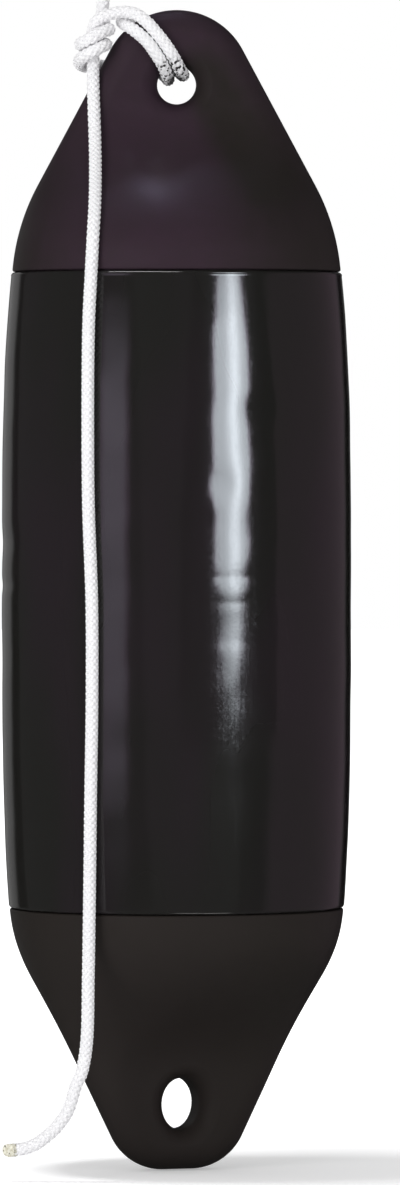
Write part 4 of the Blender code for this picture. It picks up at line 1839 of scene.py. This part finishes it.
@dataclass
class Studio:
    """Camera, lamps, floor and the white surround."""

    distance: float = 4.96
    eye_height: float = -0.182
    aim_x: float = 0.0121
    aim_z: float = -0.2615
    frame_height: float = 0.6112
    sensor: float = 36.0
    view_end: float = 60.0
    floor_z: float = -0.5596
    floor_half: float = 14.0
    floor_albedo: Point = (0.78, 0.78, 0.7878)
    near_glow: float = 0.30
    far_glow: float = 1.0
    glow_span: Span = (0.45, 1.3)
    ambient: float = 0.50
    reflected: float = 0.060
    receivers: dict[Receiver, list[bpy.types.Object]] = field(default_factory=dict)

    def build_camera(self) -> None:
        """Place the camera at the photograph's viewing angle."""
        data = bpy.data.cameras.new("camera")
        data.sensor_width = self.sensor
        data.lens = self.sensor * self.distance / self.frame_height
        data.clip_end = self.view_end
        camera = link_object("camera", data)
        camera.location = (self.aim_x, -self.distance, self.eye_height)
        aim = Vector((self.aim_x, 0.0, self.aim_z)) - camera.location
        camera.rotation_euler = aim.to_track_quat("-Z", "Y").to_euler()
        bpy.context.scene.camera = camera

    def aim(self, obj: bpy.types.Object, spot: Lamp | Card) -> None:
        """Put a lamp or card at its distance, facing its point of the fender.

        Args:
            obj: the lamp's or card's object, whose front is its -Z side.
            spot: its azimuth, elevation, distance and the height that it faces.
        """
        turn, lift = math.radians(spot.azimuth), math.radians(spot.elevation)
        away = Vector((math.sin(turn) * math.cos(lift), -math.cos(turn) * math.cos(lift), math.sin(lift)))
        obj.location = Vector((0.0, 0.0, spot.height)) + away * spot.distance
        obj.rotation_euler = (-away).to_track_quat("-Z", "Y").to_euler()

    def link_light(self, obj: bpy.types.Object, spot: Lamp | Card) -> None:
        """Let a lamp or card shine on its receivers alone.

        Args:
            obj: the lamp's or card's object.
            spot: what it shines on.
        """
        if spot.shows_in is Receiver.ALL:
            return
        receivers = bpy.data.collections.new(spot.name + "_receivers")
        for receiver in self.receivers[spot.shows_in]:
            receivers.objects.link(receiver)
        obj.light_linking.receiver_collection = receivers

    def add_lamp(self, lamp: Lamp) -> None:
        """Hang one lamp, which lights surfaces without showing in their reflections.

        Args:
            lamp: its sizes and place.
        """
        data = bpy.data.lights.new(lamp.name, "AREA")
        data.shape = lamp.shape.value
        data.size, data.size_y = lamp.size
        area = lamp.size[0] * lamp.size[1] * (math.pi / 4 if lamp.shape is LampShape.ELLIPSE else 1.0)
        data.energy = math.pi * area * lamp.radiance
        obj = link_object(lamp.name, data)
        self.aim(obj, lamp)
        self.link_light(obj, lamp)
        obj.visible_camera = False
        obj.visible_glossy = False

    def add_card(self, card: Card) -> bpy.types.Object:
        """Hang one reflection card.

        Args:
            card: its outline, glow and place.

        Returns:
            The card.
        """
        half, rise = card.size[0] / 2, card.size[1] / 2
        points = [(-2 * half, -rise, 0), (2 * half, -rise, 0), (0, 3 * rise, 0)]
        obj = link_object(card.name, mesh_of(card.name, points, [(0, 1, 2)]))
        obj.data.materials.append(card.finish())
        self.aim(obj, card)
        self.link_light(obj, card)
        obj.visible_camera = False
        obj.visible_diffuse = False
        obj.visible_shadow = False
        return obj

    def build_floor(self) -> bpy.types.Object:
        """Lay a pale floor that keeps the soft shadow and fades into the white backdrop.

        Returns:
            The floor.
        """
        size = self.floor_half
        points = [(-size, -size, 0), (size, -size, 0), (size, size, 0), (-size, size, 0)]
        obj = link_object("floor", mesh_of("floor", points, [(0, 1, 2, 3)]))
        set_place(obj, Matrix.Translation((0.0, 0.0, self.floor_z)))
        tree = Shader("floor_white")
        seen = tree.add("ShaderNodeLightPath", {}, {}, "Is Camera Ray")
        point = tree.add("ShaderNodeTexCoord", {}, {}, "Object")
        away = tree.add("ShaderNodeVectorMath", {"operation": "LENGTH"}, {0: point}, "Value")
        glow = (tree.ramp(away, self.glow_span) * (self.far_glow - self.near_glow) + self.near_glow) * seen
        tree.set(Base_Color=(*self.floor_albedo, 1.0), Roughness=0.9, Specular_IOR_Level=0.1)
        tree.set(Emission_Color=tree.mix(glow, BLACK[:3], WHITE[:3]), Emission_Strength=1.0)
        obj.data.materials.append(tree.material)
        obj.visible_glossy = False
        return obj

    def build_surround(self) -> None:
        """White to the camera, soft light on the fender and a dim studio in its reflections."""
        world = bpy.data.worlds.new("surround")
        world.use_nodes = True
        world.cycles.sampling_method = "NONE"
        bpy.context.scene.world = world
        nodes, links = world.node_tree.nodes, world.node_tree.links
        path = nodes.new("ShaderNodeLightPath")
        strength: bpy.types.NodeSocket | None = None
        for name, value in (("Is Glossy Ray", self.reflected), ("Is Camera Ray", 1.0)):
            mix = nodes.new("ShaderNodeMix")
            mix.inputs[2].default_value = self.ambient
            mix.inputs[3].default_value = value
            links.new(path.outputs[name], mix.inputs[0])
            if strength is not None:
                links.new(strength, mix.inputs[2])
            strength = mix.outputs[0]
        links.new(strength, nodes["Background"].inputs["Strength"])
        nodes["Background"].inputs["Color"].default_value = WHITE
        bpy.context.scene.view_settings.view_transform = "Standard"


def stand_for(piece: bpy.types.Object, body: str, node: str) -> None:
    """Let a piece ride a body and stand for a solid.

    Args:
        piece: the piece.
        body: the body that it rides.
        node: the solid's node.
    """
    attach(piece, body)
    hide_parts(node)


class Fender:
    """The whole fender: ends, body, valve and line."""

    def __init__(self) -> None:
        """Settle the shapes of the two ends and the valve."""
        self.top = EndShape(
            "top_end",
            Turn.UP,
            ring_radius=0.0847,
            head_radius=0.0387,
            head_flat=0.0,
            flank_tuck=0.0095,
            eye_width=0.0200,
            eye_height=0.0200,
            eye_depth=0.0387,
            ring_z=-0.0962,
        )
        self.bottom = EndShape(
            "bottom_end",
            Turn.DOWN,
            ring_radius=0.0861,
            head_radius=0.0300,
            head_flat=0.0079,
            flank_tuck=0.0068,
            eye_width=0.0206,
            eye_height=0.0262,
            eye_depth=0.0340,
            ring_z=-0.4242,
            yaw=math.radians(20.0),
        )
        self.valve = Valve(self.top)

    def build_line(self) -> list[bpy.types.Object]:
        """Lay the line and return its pieces.

        Returns:
            The hitch, the fall and the tip.
        """
        braid = Braid().build()
        fall_line = BraidedLine("line_fall", FALL_ROUTE)
        hitch = BraidedLine("line_hitch", HITCH_ROUTE).build(braid)
        fall = fall_line.build(braid)
        centre = fall_line.path(CORD_SPACING)
        stand_for(hitch, "fender", "rope_hitch")
        stand_for(fall, "fender", "rope_fall")
        tip = RopeTip(centre[-1], centre[-1] - centre[-2]).build(MeltedTip().build())
        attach(tip, "fender")
        round(route_length(centre), 4)
        log.info("line laid, %.0f mm free", 1000 * route_length(centre))
        return [hitch, fall, tip]

    def build_shell(self) -> list[bpy.types.Object]:
        """Build the body and its two ends, and return them in that order.

        Returns:
            The three pieces.
        """
        satin = MouldedVinyl().build()
        # The bottom end gets a copy of the same vinyl with its plum taken down to near the dark: the painted sheen is
        # left off, as painted shade.
        lower = MouldedVinyl(
            "fender_end_lower_shaded", dark=(0.0245, 0.0206, 0.0176), plum=(0.0262, 0.0212, 0.0195)
        ).build()
        pieces = (
            (BlownBody().build(GlossVinyl().build()), "body_tube", "fender_skin"),
            (MouldedEnd(self.top).build(satin, self.valve.seat_cutter()), "top_end", "fender_end"),
            (MouldedEnd(self.bottom).build(lower), "bottom_end", "fender_end"),
        )
        for piece, node, slot in pieces:
            stand_for(piece, "fender", node)
            log.info("%s built, %d faces", piece.name, len(piece.data.polygons))
        return [piece for piece, _, _ in pieces]

    def build_valve(self, nodes: dict[str, bpy.types.Object]) -> None:
        """Build the valve and dress its seal.

        Args:
            nodes: the CAD nodes by name.
        """
        grey = PlainMoulding("valve_nylon_grey", (0.030, 0.030, 0.032), (0.042, 0.042, 0.045), roughness=0.36)
        black = PlainMoulding("valve_nylon_black", (0.014, 0.014, 0.015), (0.022, 0.022, 0.023), roughness=0.30)
        rubber = PlainMoulding("seal_rubber_black", (0.010, 0.010, 0.010), (0.018, 0.018, 0.018), roughness=0.60)
        plug_finish, insert_finish, seal_finish = grey.build(), black.build(), rubber.build()
        stand_for(self.valve.build_insert(insert_finish), "fender", "valve_insert")
        stand_for(self.valve.build_plug(plug_finish), "plug", "valve_plug")
        for slot in nodes["valve_seal"].material_slots:
            slot.material = seal_finish
        log.info("valve built")


def main() -> None:
    """Build the scene."""
    logging.basicConfig(level=logging.INFO, format="%(name)s: %(message)s")
    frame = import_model()
    studio = Studio()
    studio.build_camera()
    fender = Fender()
    line = fender.build_line()
    body, *ends = fender.build_shell()
    fender.build_valve({name: bpy.data.objects[name] for name in frame["nodes"]})
    floor = studio.build_floor()
    studio.receivers = {Receiver.BODY: [body], Receiver.ENDS: ends, Receiver.FLOOR: [floor], Receiver.LINE: line}
    for card in CARDS:
        studio.add_card(card)
    for lamp in LAMPS:
        studio.add_lamp(lamp)
    studio.build_surround()
    bpy.context.view_layer.update()


if __name__ == "__main__":
    main()
